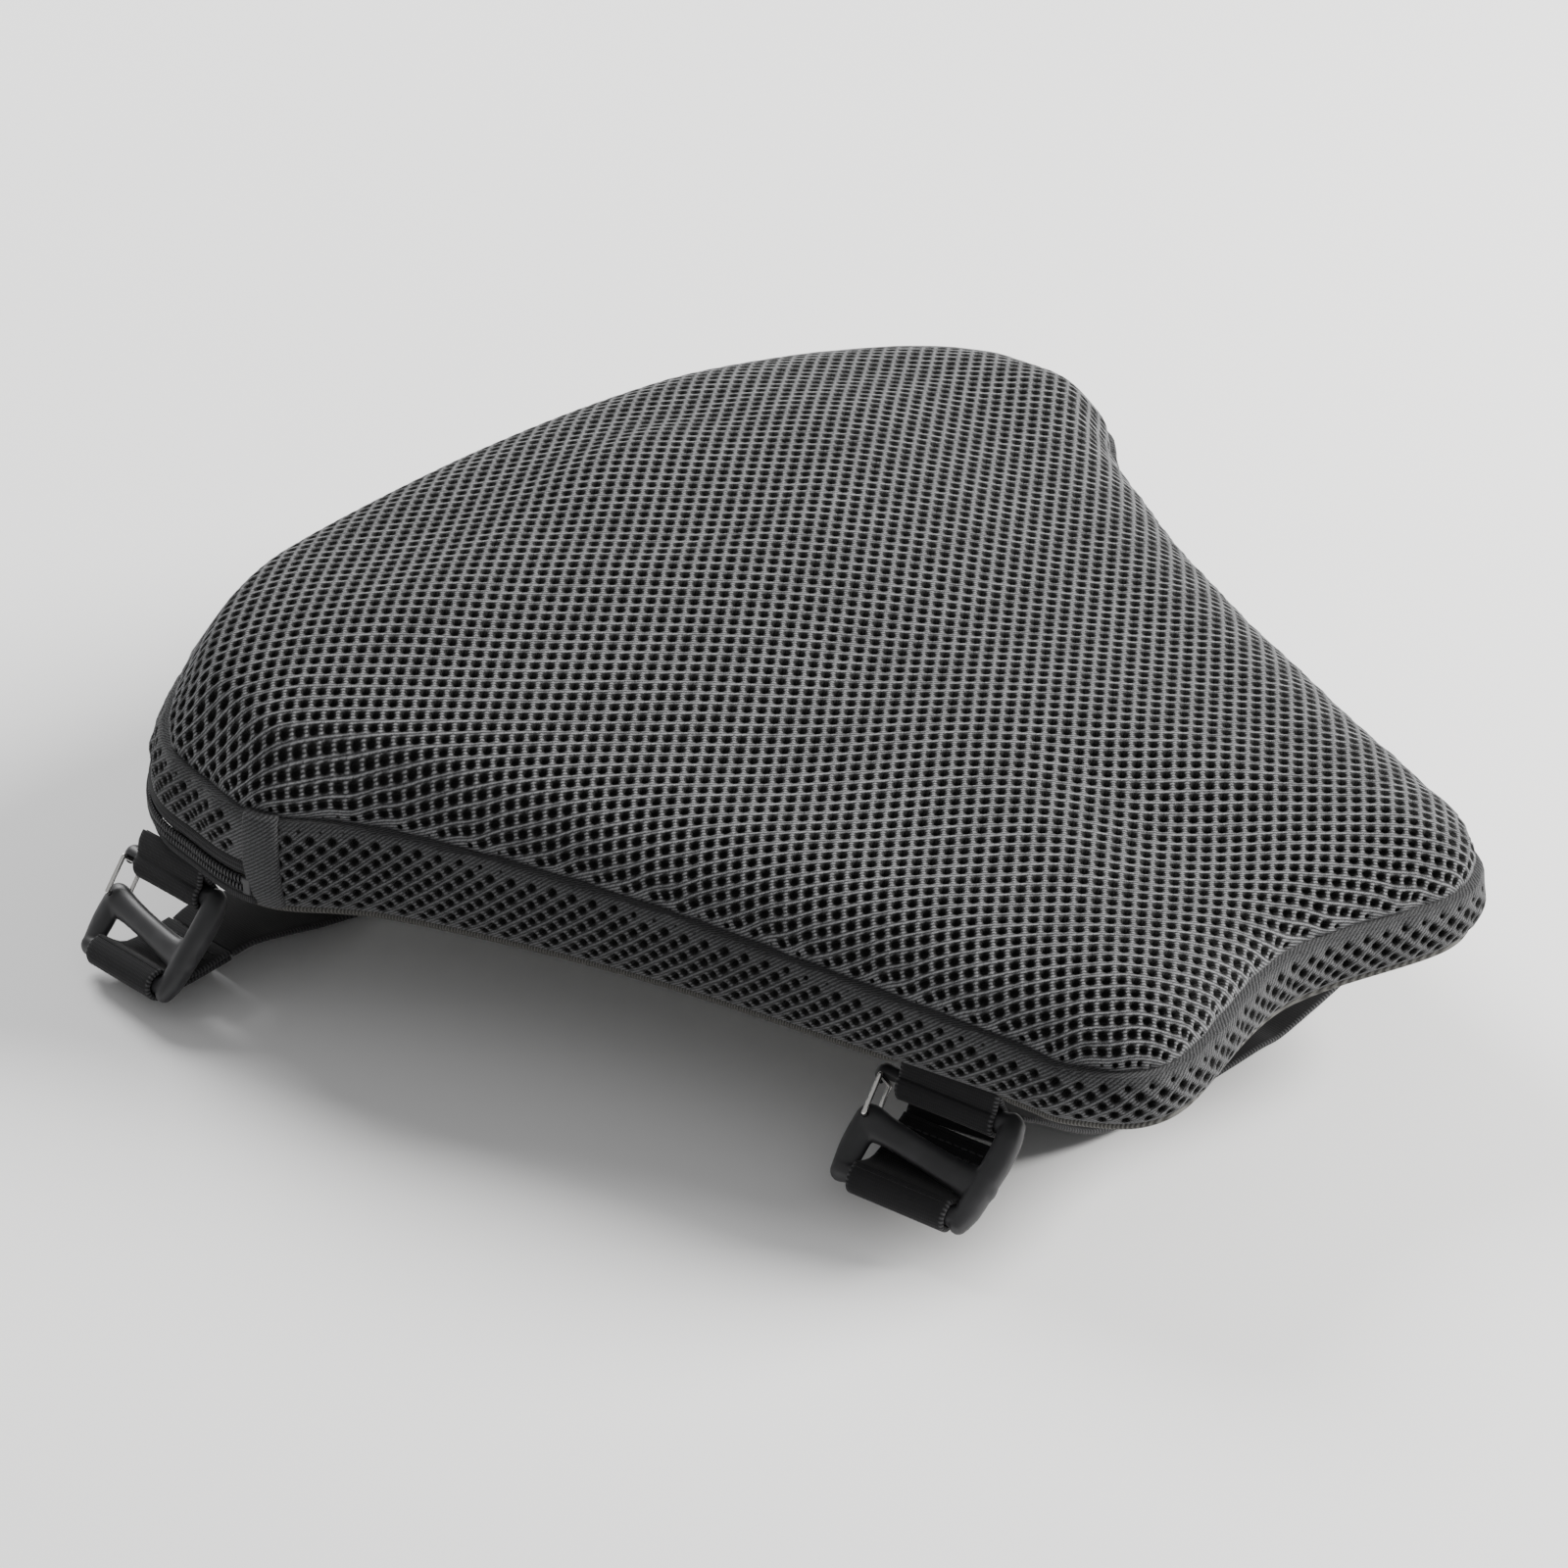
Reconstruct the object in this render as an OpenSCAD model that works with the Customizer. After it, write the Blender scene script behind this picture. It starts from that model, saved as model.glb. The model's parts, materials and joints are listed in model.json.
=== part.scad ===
// Strap-on support cushion: a foam pad in a zipped spacer-mesh cover, held on by two elastic
// straps with gated hook buckles. Millimetres, +Z up, +Y towards the wide rear end.
// The origin is the middle of the flat underside.

/* [Cushion plan] */
// Width across the wide rear end
cushion_w = 338; // [300:1:420]
// Distance from the origin to the middle of the rear edge
rear_reach = 170; // [140:1:210]
// Distance from the origin to the tips of the two front lobes
front_reach = 174; // [160:1:215]
// How far the front notch lies behind the lobe tips
notch_depth = 12; // [4:1:20]
// Width at the waist between the rear wings and the nose
waist_w = 230; // [190:1:276]
// Width of the nose behind the front lobes
nose_w = 172; // [150:1:210]
// Radius of the long curve along the rear edge
rear_r = 450; // [380:10:700]

/* [Cushion height] */
// Height of the top seam at the rear
seam_rear = 38; // [32:1:46]
// Height of the top seam at the front
seam_front = 18.5; // [16:0.5:24]
// Rise of the rounded shoulder above the top seam
crown_rise = 19; // [14:1:24]
// Distance over which the shoulder rounds off
crown_run = 37; // [28:1:46]
// Further rise from the shoulder to the middle
dome_rise = 7; // [3:1:12]
// How far the side band leans inwards at the rear
rear_lean = 8.5; // [0:0.5:12]
// Outward bulge of the side band
band_bulge = 1.5; // [0:0.5:3]

/* [Cover] */
// Thickness of the spacer mesh
mesh_t = 3; // [2:0.5:4]
// Thickness of the base fabric and its stiffener
base_t = 2; // [1.5:0.5:3]
// Setback of the base panel from the outer edge
base_inset = 2.5; // [2:0.5:4]
// Thickness of the strip over the band join
join_t = 1.4; // [1:0.1:2]
// Clearance between neighbouring pieces
gap = 0.3; // [0.2:0.05:0.4]

/* [Zip] */
// Height of the line where the two rows of coil meet
zip_z = 9; // [8.5:0.5:11]
// Width of one row of coil
coil_w = 2.4; // [2:0.1:3]
// How far the coil stands out of the tape
coil_h = 1.6; // [1.2:0.1:2]
// Width of the tape that shows beside the coil
tape_w = 3.6; // [3:0.1:4.2]
// Thickness of the tape
tape_t = 1; // [0.8:0.1:1.2]
// Length of the stops at both ends of the coil
stop_len = 3; // [2:0.5:4]
// Length of the slider
slider_len = 13; // [10:1:16]
// Wall of the slider
slider_wall = 1.8; // [1.4:0.1:2.2]
// Length of the pull tab
pull_len = 24; // [16:1:32]

/* [Straps] */
// Width of the elastic webbing
strap_w = 30; // [25:1:36]
// Thickness of the elastic webbing
strap_t = 1.4; // [1.1:0.1:1.7]
// Height that the slack straps hang below the underside
strap_drop = 36; // [34:1:44]
// Length of the doubled strap end behind each buckle
fold_len = 24; // [20:1:30]

/* [Buckle] */
// Distance from the upper arm to the lower bar
buckle_len = 28; // [26:1:34]
// Distance from the upper arm to the middle bar
middle_at = 14.5; // [13.5:0.5:15.5]
// Radius of the upper arm and the lower bar
bar_r = 3; // [2.5:0.1:3.2]
// Radius of the thick side bar
side_r = 3.6; // [3:0.1:4.5]
// Thickness of the side plate that carries the gate
plate_t = 5; // [4:0.5:6]
// Half the width of the side plate
plate_r = 3.2; // [2.8:0.1:4]
// Play between the webbing and the sides of the buckle
strap_play = 0.8; // [0.5:0.1:1.2]
// Radius of the gate wire
wire_r = 0.7; // [0.5:0.05:0.8]
// Radial clearance of the gate wire in its hole
wire_fit = 0.05; // [0.03:0.01:0.08]

/* [Hidden] */
$fn = 48;
sliver = 0.01;

// ---- Plan outline: a list of points, clockwise from the middle of the rear edge ----
half_w = cushion_w / 2;
arc_end_x = half_w - 64;
arc_steps = 7;
corner_steps = 6;
arc_span = asin(arc_end_x / rear_r);
arc_y = rear_reach - rear_r;
shoulder_y = 98;
// Half outline behind the corner: position, then how many steps lead on from it
flank = [
    [half_w, shoulder_y, 2],
    [half_w - 1, 64, 4],
    [half_w - 24, 32, 4],
    [waist_w / 2, -36, 5],
    [nose_w / 2, 43 - front_reach, 3],
    [nose_w / 2 - 8, 16 - front_reach, 4],
    [nose_w / 2 - 31, -front_reach, 5],
    [0, notch_depth - front_reach, 1]
];

function arc_point(a) = [rear_r * sin(a), arc_y + rear_r * cos(a)];
function bezier(a, b, c, d, t) =
    pow(1 - t, 3) * a + 3 * pow(1 - t, 2) * t * b + 3 * (1 - t) * t * t * c + pow(t, 3) * d;
function spline(a, b, c, d, t) =
    0.5 * (2 * b + (c - a) * t + (2 * a - 5 * b + 4 * c - d) * t * t
        + (3 * b - a - 3 * c + d) * t * t * t);
function xy(p) = [p.x, p.y];
function flank_point(k) =
    k < 0 ? [half_w - 1, shoulder_y + 34]
    : k < len(flank) ? xy(flank[k])
    : [-flank[2 * len(flank) - 2 - k].x, flank[2 * len(flank) - 2 - k].y];
arc_tip = arc_point(arc_span);
half_outline = concat(
    [for (i = [0:arc_steps - 1]) arc_point(arc_span * i / arc_steps)],
    [for (i = [0:corner_steps - 1])
        bezier(
            arc_tip,
            arc_tip + 15 * [cos(arc_span), -sin(arc_span)],
            [half_w, shoulder_y + 35],
            [half_w, shoulder_y],
            i / corner_steps)],
    [for (k = [0:len(flank) - 2], i = [0:flank[k].z - 1])
        spline(flank_point(k - 1), flank_point(k), flank_point(k + 1), flank_point(k + 2),
            i / flank[k].z)],
    [[0, notch_depth - front_reach]]
);
half_n = len(half_outline) - 1;
n = 2 * half_n;
outline = concat(
    half_outline,
    [for (i = [half_n - 1:-1:1]) [-half_outline[i].x, half_outline[i].y]]
);
// The zip runs from the band join on the left, round the corner and along the rear
join_i = n - (arc_steps + corner_steps + 2);
zip_first = join_i - n;
zip_last = arc_steps;

function wrap(i) = (i % n + n) % n;
function unit(v) = v / norm(v);
function normal(i) =
    let (d = unit(outline[wrap(i + 1)] - outline[wrap(i - 1)])) [-d.y, d.x];
function lerp(a, b, t) = a + (b - a) * t;
function clamp(v, lo, hi) = min(hi, max(lo, v));

// ---- Heights and offsets around the outline ----
function seam_z(y) = lerp(seam_front, seam_rear,
    clamp((y + front_reach) / (rear_reach + front_reach), 0, 1));
function lean(i) = rear_lean * max(0, normal(i).y);
function in_zip(i) = let (j = i > half_n ? i - n : i) j >= zip_first && j <= zip_last;
function edge(i, inset) = outline[wrap(i)] - inset * normal(i);
// The same between two outline points, for a step that isn't whole
function edge_at(t, inset) = let (i = floor(t)) lerp(edge(i, inset), edge(i + 1, inset), t - i);
function strip_steps(first, last) =
    concat([first], [for (i = [floor(first) + 1:ceil(last) - 1]) i], [last]);

band_foot = base_t + gap;
tape_top = zip_z + gap / 2 + coil_w + gap + tape_w;

// Side band profile from the foot to the top seam: inset from the outline, then height
function band_profile(i, foot) = let (
    top = seam_z(outline[wrap(i)].y) - gap / 2,
    foot_in = foot > band_foot ? 0 : base_inset - gap,
    l = lean(i)
) [
    [foot_in, foot],
    [0.2 * l - 0.3 * band_bulge, lerp(foot, top, 0.2)],
    [0.4 * l - band_bulge, lerp(foot, top, 0.5)],
    [0.75 * l - 0.5 * band_bulge, lerp(foot, top, 0.82)],
    [l + 1, top]
];
function band_row(i, foot, out) =
    [for (p = band_profile(i, foot)) let (q = edge(i, p.x - out)) [q.x, q.y, p.y]];

// ---- Rounded top: height from the distance to the seam line ----
function seam_line(inset) = [for (i = [0:n - 1]) edge(i, lean(i) + inset)];
function segment_distance(p, a, b) = let (
    ab = b - a,
    t = clamp(((p - a) * ab) / (ab * ab), 0, 1)
) norm(p - a - t * ab);
function line_distance(p, line) =
    min([for (i = [0:n - 1]) segment_distance(p, line[i], line[(i + 1) % n])]);
function crown(d) = crown_rise * sqrt(1 - pow(1 - min(d / crown_run, 1), 2));
dome_run = 75;
function dome(d) = dome_rise * (1 - pow(1 - clamp((d - crown_run) / dome_run, 0, 1), 2));
// Points along the middle of the pad that the rings close in on, in step with the outline
lobe_i = half_n - flank[len(flank) - 2].z;
function spine(i) = let (
    j = min(i, n - i),
    y = j <= lobe_i ? outline[j].y : outline[lobe_i].y - 2 * (j - lobe_i)
) [0, min(0.6 * y, 0.55 * rear_reach)];
shoulder_steps = [0, 0.03, 0.08, 0.15, 0.24, 0.36, 0.52, 0.72, 0.9];
// Rings from the middle of the top outwards to the seam, for a skin that lies `down` below
// the outer face and whose edge is set in by `inset`
function top_rings(inset, down, foot_z) = let (line = seam_line(inset))
    [for (s = [len(shoulder_steps) - 1:-1:0])
        [for (i = [0:n - 1]) let (
            q = lerp(line[i], spine(i), shoulder_steps[s]),
            d = s == 0 ? 0 : line_distance(q, line)
        ) [q.x, q.y, seam_z(outline[i].y) + foot_z + (s == 0 ? 0 : crown(d) + dome(d) - down)]]];

// ---- Solids made of rings of points ----
function side_faces(m, k0, k1) = [for (i = [0:m - 1])
    let (j = (i + 1) % m, a = k0 * m, b = k1 * m)
    each [[a + i, b + i, b + j], [a + i, b + j, a + j]]];
function cap_faces(a, flip) = [for (i = [0:half_n - 1]) let (
    p = a + i,
    q = a + i + 1,
    r = a + (n - i - 1) % n,
    s = a + (n - i) % n
) each (flip ? [[r, q, p], [s, r, p]] : [[p, q, r], [p, r, s]])];
// A solid of stacked outline rings with a closed first and last ring
module ring_stack(rings) {
    m = len(rings);
    faces = concat(
        [for (k = [0:m - 2]) each side_faces(n, k, k + 1)],
        cap_faces(0, false),
        cap_faces((m - 1) * n, true)
    );
    polyhedron([for (ring = rings) each ring],
        [for (f = faces) if (f[0] != f[1] && f[1] != f[2] && f[2] != f[0]) f]);
}
// A solid of outline rings that closes on itself like a hoop
module ring_hoop(rings) {
    m = len(rings);
    polyhedron([for (ring = rings) each ring],
        [for (k = [0:m - 1]) each side_faces(n, k, (k + 1) % m)]);
}
// A solid swept through sections of equally many points, which run anticlockwise as seen from its end
module sweep(sections) {
    m = len(sections);
    w = len(sections[0]);
    polyhedron([for (s = sections) each s],
        concat(
            [for (k = [0:m - 2]) each side_faces(w, k, k + 1)],
            [[for (i = [0:w - 1]) i]],
            [[for (i = [w - 1:-1:0]) (m - 1) * w + i]]
        ));
}
// A strip that follows the outline from step first to step last, with in_a its inner side
module edge_strip(first, last, in_a, in_b, z_a, z_b) {
    sweep([for (t = strip_steps(first, last)) let (a = edge_at(t, in_a), b = edge_at(t, in_b)) [
        [a.x, a.y, z_a],
        [b.x, b.y, z_a],
        [b.x, b.y, z_b],
        [a.x, a.y, z_b]
    ]]);
}

// ---- Buckle places: origin of the upper arm, turn, roll, pitch, rise of the strap ----
arm_z = -8;
front_place = [[-(nose_w / 2 - 2.1), 54.2 - front_reach, arm_z], 102, 0, 36, 20];
rear_place = [[-(half_w - 0.5), 103.5, arm_z], 90, -5, 46, 4];
function place_turn(p) = p[1];
function place_roll(p) = p[2];
function place_pitch(p) = p[3];
function place_rise(p) = p[4];
function place_point(p, q) = let (
    r = place_roll(p),
    t = place_turn(p),
    x = q.x * cos(r) - q.z * sin(r),
    z = q.x * sin(r) + q.z * cos(r)
) p[0] + [x * cos(t) - q.y * sin(t), x * sin(t) + q.y * cos(t), z];
module at_place(p) {
    translate(p[0]) rotate([0, 0, place_turn(p)]) rotate([0, -place_roll(p), 0]) children();
}
module at_buckle(p) {
    at_place(p) rotate([-place_pitch(p), 0, 0]) children();
}
// Extrudes a profile drawn in the outward and upward directions across the webbing
module across(width) {
    rotate([90, 0, 90]) linear_extrude(width, center = true) children();
}
module pair_hull(a, ra, b, rb) {
    hull() {
        translate(a) circle(ra, $fn = 32);
        translate(b) circle(rb, $fn = 32);
    }
}

// Webbing round a bar, then two plies side by side from the pinch to the end
loop_in = bar_r + gap;
loop_out = loop_in + strap_t;
module loop_profile(bar, pinch, end) {
    difference() {
        union() {
            pair_hull(bar, loop_out, pinch, strap_t);
            pair_hull(pinch, strap_t, end, strap_t);
        }
        pair_hull(bar, loop_in, pinch, sliver);
    }
}

// Where a webbing end enters the seam between the base and the side band
tuck_z = base_t - arm_z;
tuck_out = 2.2;
tuck_room = 6;
tuck_tall = 14;
// How far a rolled webbing end lifts at its higher edge
function tuck_lift(p) = strap_w / 2 * abs(sin(place_roll(p)));
module tuck_cut(p) {
    at_place(p) translate([0, tuck_out, tuck_z])
        cube([strap_w + 4 * gap, 2 * (strap_t + gap) + tuck_room, tuck_tall], center = true);
}
module mirrored() {
    children();
    mirror([1, 0, 0]) children();
}

// ---- Cushion ----
module foam_core() {
    inset = mesh_t + gap + 1;
    side = mesh_t + 2 * gap;
    foot = band_foot;
    rings = concat(
        top_rings(inset, mesh_t + gap, -gap),
        [[for (i = [0:n - 1]) let (q = edge(i, side + 0.5 * lean(i)))
            [q.x, q.y, lerp(foot, seam_z(outline[i].y), 0.5)]]],
        [for (s = [0, 0.9]) [for (i = [0:n - 1])
            let (q = lerp(edge(i, side + base_inset), spine(i), s)) [q.x, q.y, foot]]]
    );
    color([0.86, 0.84, 0.76]) ring_stack(rings);
}
module top_panel() {
    under = top_rings(1 + mesh_t, mesh_t, gap / 2);
    rings = concat(
        top_rings(1, 0, gap / 2),
        [for (r = [len(under) - 1:-1:0]) under[r]]
    );
    color([0.22, 0.22, 0.23]) ring_stack(rings);
}
module side_band() {
    outer = [for (i = [0:n - 1]) band_row(i, in_zip(i) ? tape_top + gap : band_foot, 0)];
    inner = [for (i = [0:n - 1]) band_row(i, in_zip(i) ? tape_top + gap : band_foot, -mesh_t)];
    last = len(outer[0]) - 1;
    color([0.15, 0.15, 0.16]) ring_hoop(concat(
        [for (k = [last:-1:0]) [for (row = outer) row[k]]],
        [for (k = [0:last]) [for (row = inner) row[k]]]
    ));
}
module band_join() {
    rows = [for (i = [join_i, join_i - 1], out = [3 * gap, 3 * gap + join_t]) band_row(i, band_foot, out)];
    last = len(rows[0]) - 1;
    color([0.13, 0.13, 0.14])
        sweep([for (k = [0:last]) [rows[0][k], rows[1][k], rows[3][k], rows[2][k]]]);
}
module base_panel() {
    color([0.24, 0.24, 0.23]) difference() {
        linear_extrude(base_t) polygon([for (i = [0:n - 1]) edge(i, base_inset)]);
        mirrored() {
            tuck_cut(front_place);
            tuck_cut(rear_place);
        }
    }
}

// ---- Zip ----
coil_low = zip_z - gap / 2 - coil_w;
coil_high = zip_z + gap / 2;
function step_share(i) = stop_len / norm(outline[wrap(i + 1)] - outline[wrap(i)]);
coil_first = zip_first + step_share(zip_first);
coil_last = zip_last - step_share(zip_last - 1);
module zip_tape_upper() {
    color([0.08, 0.08, 0.08])
        edge_strip(zip_first, zip_last, tape_t, 0, coil_high + coil_w + gap, tape_top);
}
module zip_tape_lower() {
    color([0.08, 0.08, 0.08])
        edge_strip(zip_first, zip_last, tape_t, 0, band_foot, coil_low - gap);
}
module zip_coil_upper() {
    color([0.1, 0.1, 0.1])
        edge_strip(coil_first, coil_last, tape_t, -coil_h, coil_high, coil_high + coil_w);
}
module zip_coil_lower() {
    color([0.1, 0.1, 0.1])
        edge_strip(coil_first, coil_last, tape_t, -coil_h, coil_low, coil_low + coil_w);
}
module zip_bottom_stop() {
    color([0.1, 0.1, 0.1])
        edge_strip(zip_first, coil_first, -gap, -coil_h - gap, coil_low, coil_high + coil_w);
}
module zip_top_stops() {
    color([0.1, 0.1, 0.1]) for (z = [coil_low, coil_high])
        edge_strip(coil_last, zip_last, -gap, -coil_h, z, z + coil_w);
}
// Turns a profile of outward offset and height about the middle of the rear curve
module rear_arc(a0, a1) {
    translate([0, arc_y, 0]) rotate([0, 0, 90 - a1])
        rotate_extrude(angle = a1 - a0, $fn = 360) translate([rear_r, 0]) children();
}
slider_span = slider_len / rear_r * 180 / PI;
// Angle left between the closed slider and its stops
stop_play = 0.3;
slider_mid = arc_span * coil_last / zip_last - slider_span / 2 - stop_play;
slider_low = coil_low - gap - slider_wall / 2;
slider_high = coil_high + coil_w + gap + slider_wall / 2;
slider_top = coil_h + gap + slider_wall;
pin_r = 0.9;
pin_fit = 0.08;
eye_wall = 1.1;
pin_out = slider_top + eye_wall + pin_r + 2 * gap;
module at_pull_pin() {
    translate([0, arc_y, 0]) rotate([0, 0, -slider_mid]) translate([0, rear_r + pin_out, 0])
        children();
}
module zip_slider() {
    color([0.3, 0.3, 0.31]) {
        rear_arc(slider_mid - slider_span / 2, slider_mid + slider_span / 2) difference() {
            translate([gap, slider_low]) square([slider_top - gap, slider_high - slider_low]);
            translate([0, coil_low - gap])
                square([coil_h + gap, slider_high - slider_low - slider_wall]);
        }
        at_pull_pin() {
            translate([0, 0, slider_low]) cylinder(h = slider_high - slider_low, r = pin_r);
            for (z = [slider_low, slider_high - slider_wall / 2])
                translate([-pin_r - gap, -pin_out + slider_top - gap, z])
                    cube([2 * (pin_r + gap), pin_out - slider_top + gap + pin_r, slider_wall / 2]);
        }
    }
}
module zip_pull() {
    low = slider_low + slider_wall / 2 + gap;
    high = slider_high - slider_wall / 2 - gap;
    eye_r = pin_r + pin_fit + eye_wall;
    color([0.3, 0.3, 0.31]) at_pull_pin() translate([0, 0, low]) difference() {
        union() {
            cylinder(h = high - low, r = eye_r);
            translate([-pull_len, -0.75, 0]) cube([pull_len, 1.5, high - low]);
        }
        translate([0, 0, -1]) cylinder(h = high - low + 2, r = pin_r + pin_fit);
    }
}

// ---- Buckle, drawn with X along the webbing's width, Y down its length and Z outwards ----
half_in = strap_w / 2 + strap_play;
side_x = -(half_in + side_r);
plate_x = half_in + plate_r;
ear_out = 1.5;
hole_at = middle_at - 2;
middle_rise = 1.5;
middle_fall = 0.5;
middle_r = bar_r - 0.3;
tip_out = 0.9;
tip_down = 0.1;
slot_out = 0.5;
pivot = [plate_x, hole_at];
tip = [plate_x + tip_out, 0.5 * bar_r - tip_down];
leg_w = bar_r + gap + wire_r;
module rod(a, b, r) {
    d = b - a;
    translate(a) rotate([0, acos(d.z / norm(d)), atan2(d.y, d.x)]) cylinder(h = norm(d), r = r);
}
module buckle(p) {
    color([0.21, 0.21, 0.22]) at_buckle(p) difference() {
        union() {
            rod([side_x, 0, 0], [plate_x + ear_out, 0, 0], bar_r);
            translate([plate_x + ear_out, 0, 0]) sphere(bar_r);
            translate([side_x, 0, 0]) sphere(side_r);
            rod([side_x, 0, 0], [side_x, buckle_len, 0], side_r);
            translate([side_x, buckle_len, 0]) sphere(side_r);
            rod([side_x, middle_at + middle_rise, 0],
                [plate_x, middle_at - middle_fall, 0], middle_r);
            rod([side_x, buckle_len, 0], [plate_x, buckle_len, 0], bar_r);
            translate([plate_x, hole_at, -plate_t / 2]) cylinder(h = plate_t, r = plate_r);
            translate([plate_x - plate_r, hole_at, -plate_t / 2])
                cube([2 * plate_r, buckle_len - hole_at, plate_t]);
            translate([plate_x, buckle_len, -plate_t / 2]) cylinder(h = plate_t, r = plate_r);
        }
        translate([pivot.x, pivot.y, -plate_t]) cylinder(h = 2 * plate_t, r = wire_r + wire_fit);
        translate([strap_w / 2 + gap, tip.y - wire_r - gap, -2 * bar_r])
            cube([tip.x + wire_r + slot_out - strap_w / 2 - gap, 2 * bar_r, 4 * bar_r]);
    }
}
module gate(p) {
    color([0.75, 0.75, 0.76]) at_buckle(p) {
        rod([pivot.x, pivot.y, -leg_w], [pivot.x, pivot.y, leg_w], wire_r);
        rod([tip.x, tip.y, -leg_w], [tip.x, tip.y, leg_w], wire_r);
        for (w = [-leg_w, leg_w]) {
            rod([pivot.x, pivot.y, w], [tip.x, tip.y, w], wire_r);
            translate([pivot.x, pivot.y, w]) sphere(wire_r);
            translate([tip.x, tip.y, w]) sphere(wire_r);
        }
    }
}

// ---- Webbing ----
module tab(p) {
    color([0.08, 0.08, 0.085]) at_place(p) across(strap_w)
        loop_profile([0, 0], [0.5 * tuck_out, loop_out + strap_t], 
            [tuck_out, tuck_z - strap_t - tuck_lift(p)]);
}
function bar_spot(p) = buckle_len * [cos(place_pitch(p)), -sin(place_pitch(p))];
function fold_way(p) = [-cos(place_rise(p)), sin(place_rise(p))];
function fold_side(p) = [-sin(place_rise(p)), -cos(place_rise(p))];
pinch_at = 9;
pinch_in = 0.2;
function pinch_spot(p) = bar_spot(p) + pinch_at * fold_way(p) + (loop_in - pinch_in) * fold_side(p);
function fold_end(p) = pinch_spot(p) + (fold_len - pinch_at) * fold_way(p);
module strap_end(p) {
    color([0.08, 0.08, 0.085]) at_place(p) across(strap_w)
        loop_profile(bar_spot(p), pinch_spot(p), fold_end(p));
}
stitch_t = 0.5;
stitch_z = -2.4;
tack_at = 0.55;
tack_len = 5;
tack_side = 2;
module bartack(p) {
    mid = lerp(pinch_spot(p), fold_end(p), tack_at);
    color([0.04, 0.04, 0.04]) at_place(p) translate([0, mid.x, mid.y])
        rotate([-place_rise(p), 0, 0]) for (side = [-1, 1])
            translate([0, 0, side * (strap_t + gap / 2 + stitch_t / 2)])
                cube([strap_w - 2 * tack_side, tack_len, stitch_t], center = true);
}
// Free run of a strap: from the fold, down to the slack and up to the far edge of the base.
// Each section is a point in the middle of the webbing, its direction across, and its slope.
run_steps = 5;
run_lead = 9;
straight_steps = 3;
slack_in = 36;
slack_flat = 62;
far_flat = 48;
far_rise = 16;
far_tuck = base_t - gap;
far_over = 0.5;
far_back = 2;
far_low = 6;
flat_at = 0.25;
slack_turns = [0.4, 0.8, 0.6];
slack_fall = 0.75;
anchor_side = 3;
anchor_tall = 2;
function run_start(p) = let (e = fold_end(p) + (strap_t + 3 * gap) * fold_way(p)) [0, e.x, e.y];
function run_way(p) = [0, fold_way(p).x, fold_way(p).y];
function far_x(p) = -p[0].x - 0.5 * tuck_out + 1;
function far_turn(p) = 180 - place_turn(p);
function run_points(p) = let (
    s = place_point(p, run_start(p)),
    s2 = place_point(p, run_start(p) + run_lead * run_way(p)),
    f = p[0],
    low = -strap_drop + strap_t / 2,
    ex = far_x(p)
) [
    [s, place_turn(p)],
    [s2, place_turn(p)],
    [[s.x + slack_in, lerp(s.y, f.y, slack_turns[0]), lerp(s2.z, low, slack_fall)],
        lerp(place_turn(p), 90, slack_turns[0])],
    [[s.x + slack_flat, f.y, low], lerp(place_turn(p), 90, slack_turns[1])],
    [[flat_at * ex, f.y, low], 90],
    [[ex - far_flat, f.y, low], 90],
    [[ex - far_rise, f.y, low + run_lead], lerp(90, far_turn(p), slack_turns[2])],
    [[ex - far_back, f.y, arm_z - far_low], far_turn(p)],
    [[ex + far_over, f.y, far_tuck], far_turn(p)]
];
function run_spot(c, k) = let (m = len(c) - 1) c[clamp(k, 0, m)];
function run_line(p) = let (c = run_points(p), m = len(c) - 1) concat(
    [for (k = [0:m - 1], i = [0:run_steps - 1]) let (t = i / run_steps) [
        spline(run_spot(c, k - 1)[0], c[k][0], c[k + 1][0], run_spot(c, k + 2)[0], t),
        lerp(c[k][1], c[k + 1][1], t)
    ]],
    [c[m]]
);
module strap_run(p) {
    line = run_line(p);
    m = len(line) - 1;
    color([0.08, 0.08, 0.085]) sweep([for (k = [0:m]) let (
        d = k < straight_steps ? place_point(p, run_way(p)) - place_point(p, [0, 0, 0])
            : unit(line[min(k + 1, m)][0] - line[k - 1][0]),
        roll_share = max(0, 1 - k / (run_steps + 1)),
        flat = [cos(line[k][1]), sin(line[k][1]), sin(place_roll(p)) * roll_share],
        side = unit(flat - (flat * d) * d),
        up = cross(d, side),
        q = line[k][0]
    ) [
        q - side * strap_w / 2 - up * strap_t / 2,
        q + side * strap_w / 2 - up * strap_t / 2,
        q + side * strap_w / 2 + up * strap_t / 2,
        q - side * strap_w / 2 + up * strap_t / 2
    ]]);
}
module anchor_stitch(p) {
    color([0.04, 0.04, 0.04]) translate([far_x(p) + far_over, p[0].y, stitch_z])
        rotate([0, 0, far_turn(p)])
            for (s = [-1, 1]) translate([0, s * (strap_t / 2 + gap + stitch_t / 2), 0])
                cube([strap_w - 2 * anchor_side, stitch_t, anchor_tall], center = true);
}

module front_tab() { tab(front_place); }
module front_buckle() { buckle(front_place); }
module front_gate() { gate(front_place); }
module front_strap_end() { strap_end(front_place); }
module front_bartack() { bartack(front_place); }
module front_strap() { strap_run(front_place); }
module front_anchor_stitch() { anchor_stitch(front_place); }
module rear_tab() { tab(rear_place); }
module rear_buckle() { buckle(rear_place); }
module rear_gate() { gate(rear_place); }
module rear_strap_end() { strap_end(rear_place); }
module rear_bartack() { bartack(rear_place); }
module rear_strap() { strap_run(rear_place); }
module rear_anchor_stitch() { anchor_stitch(rear_place); }

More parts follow.
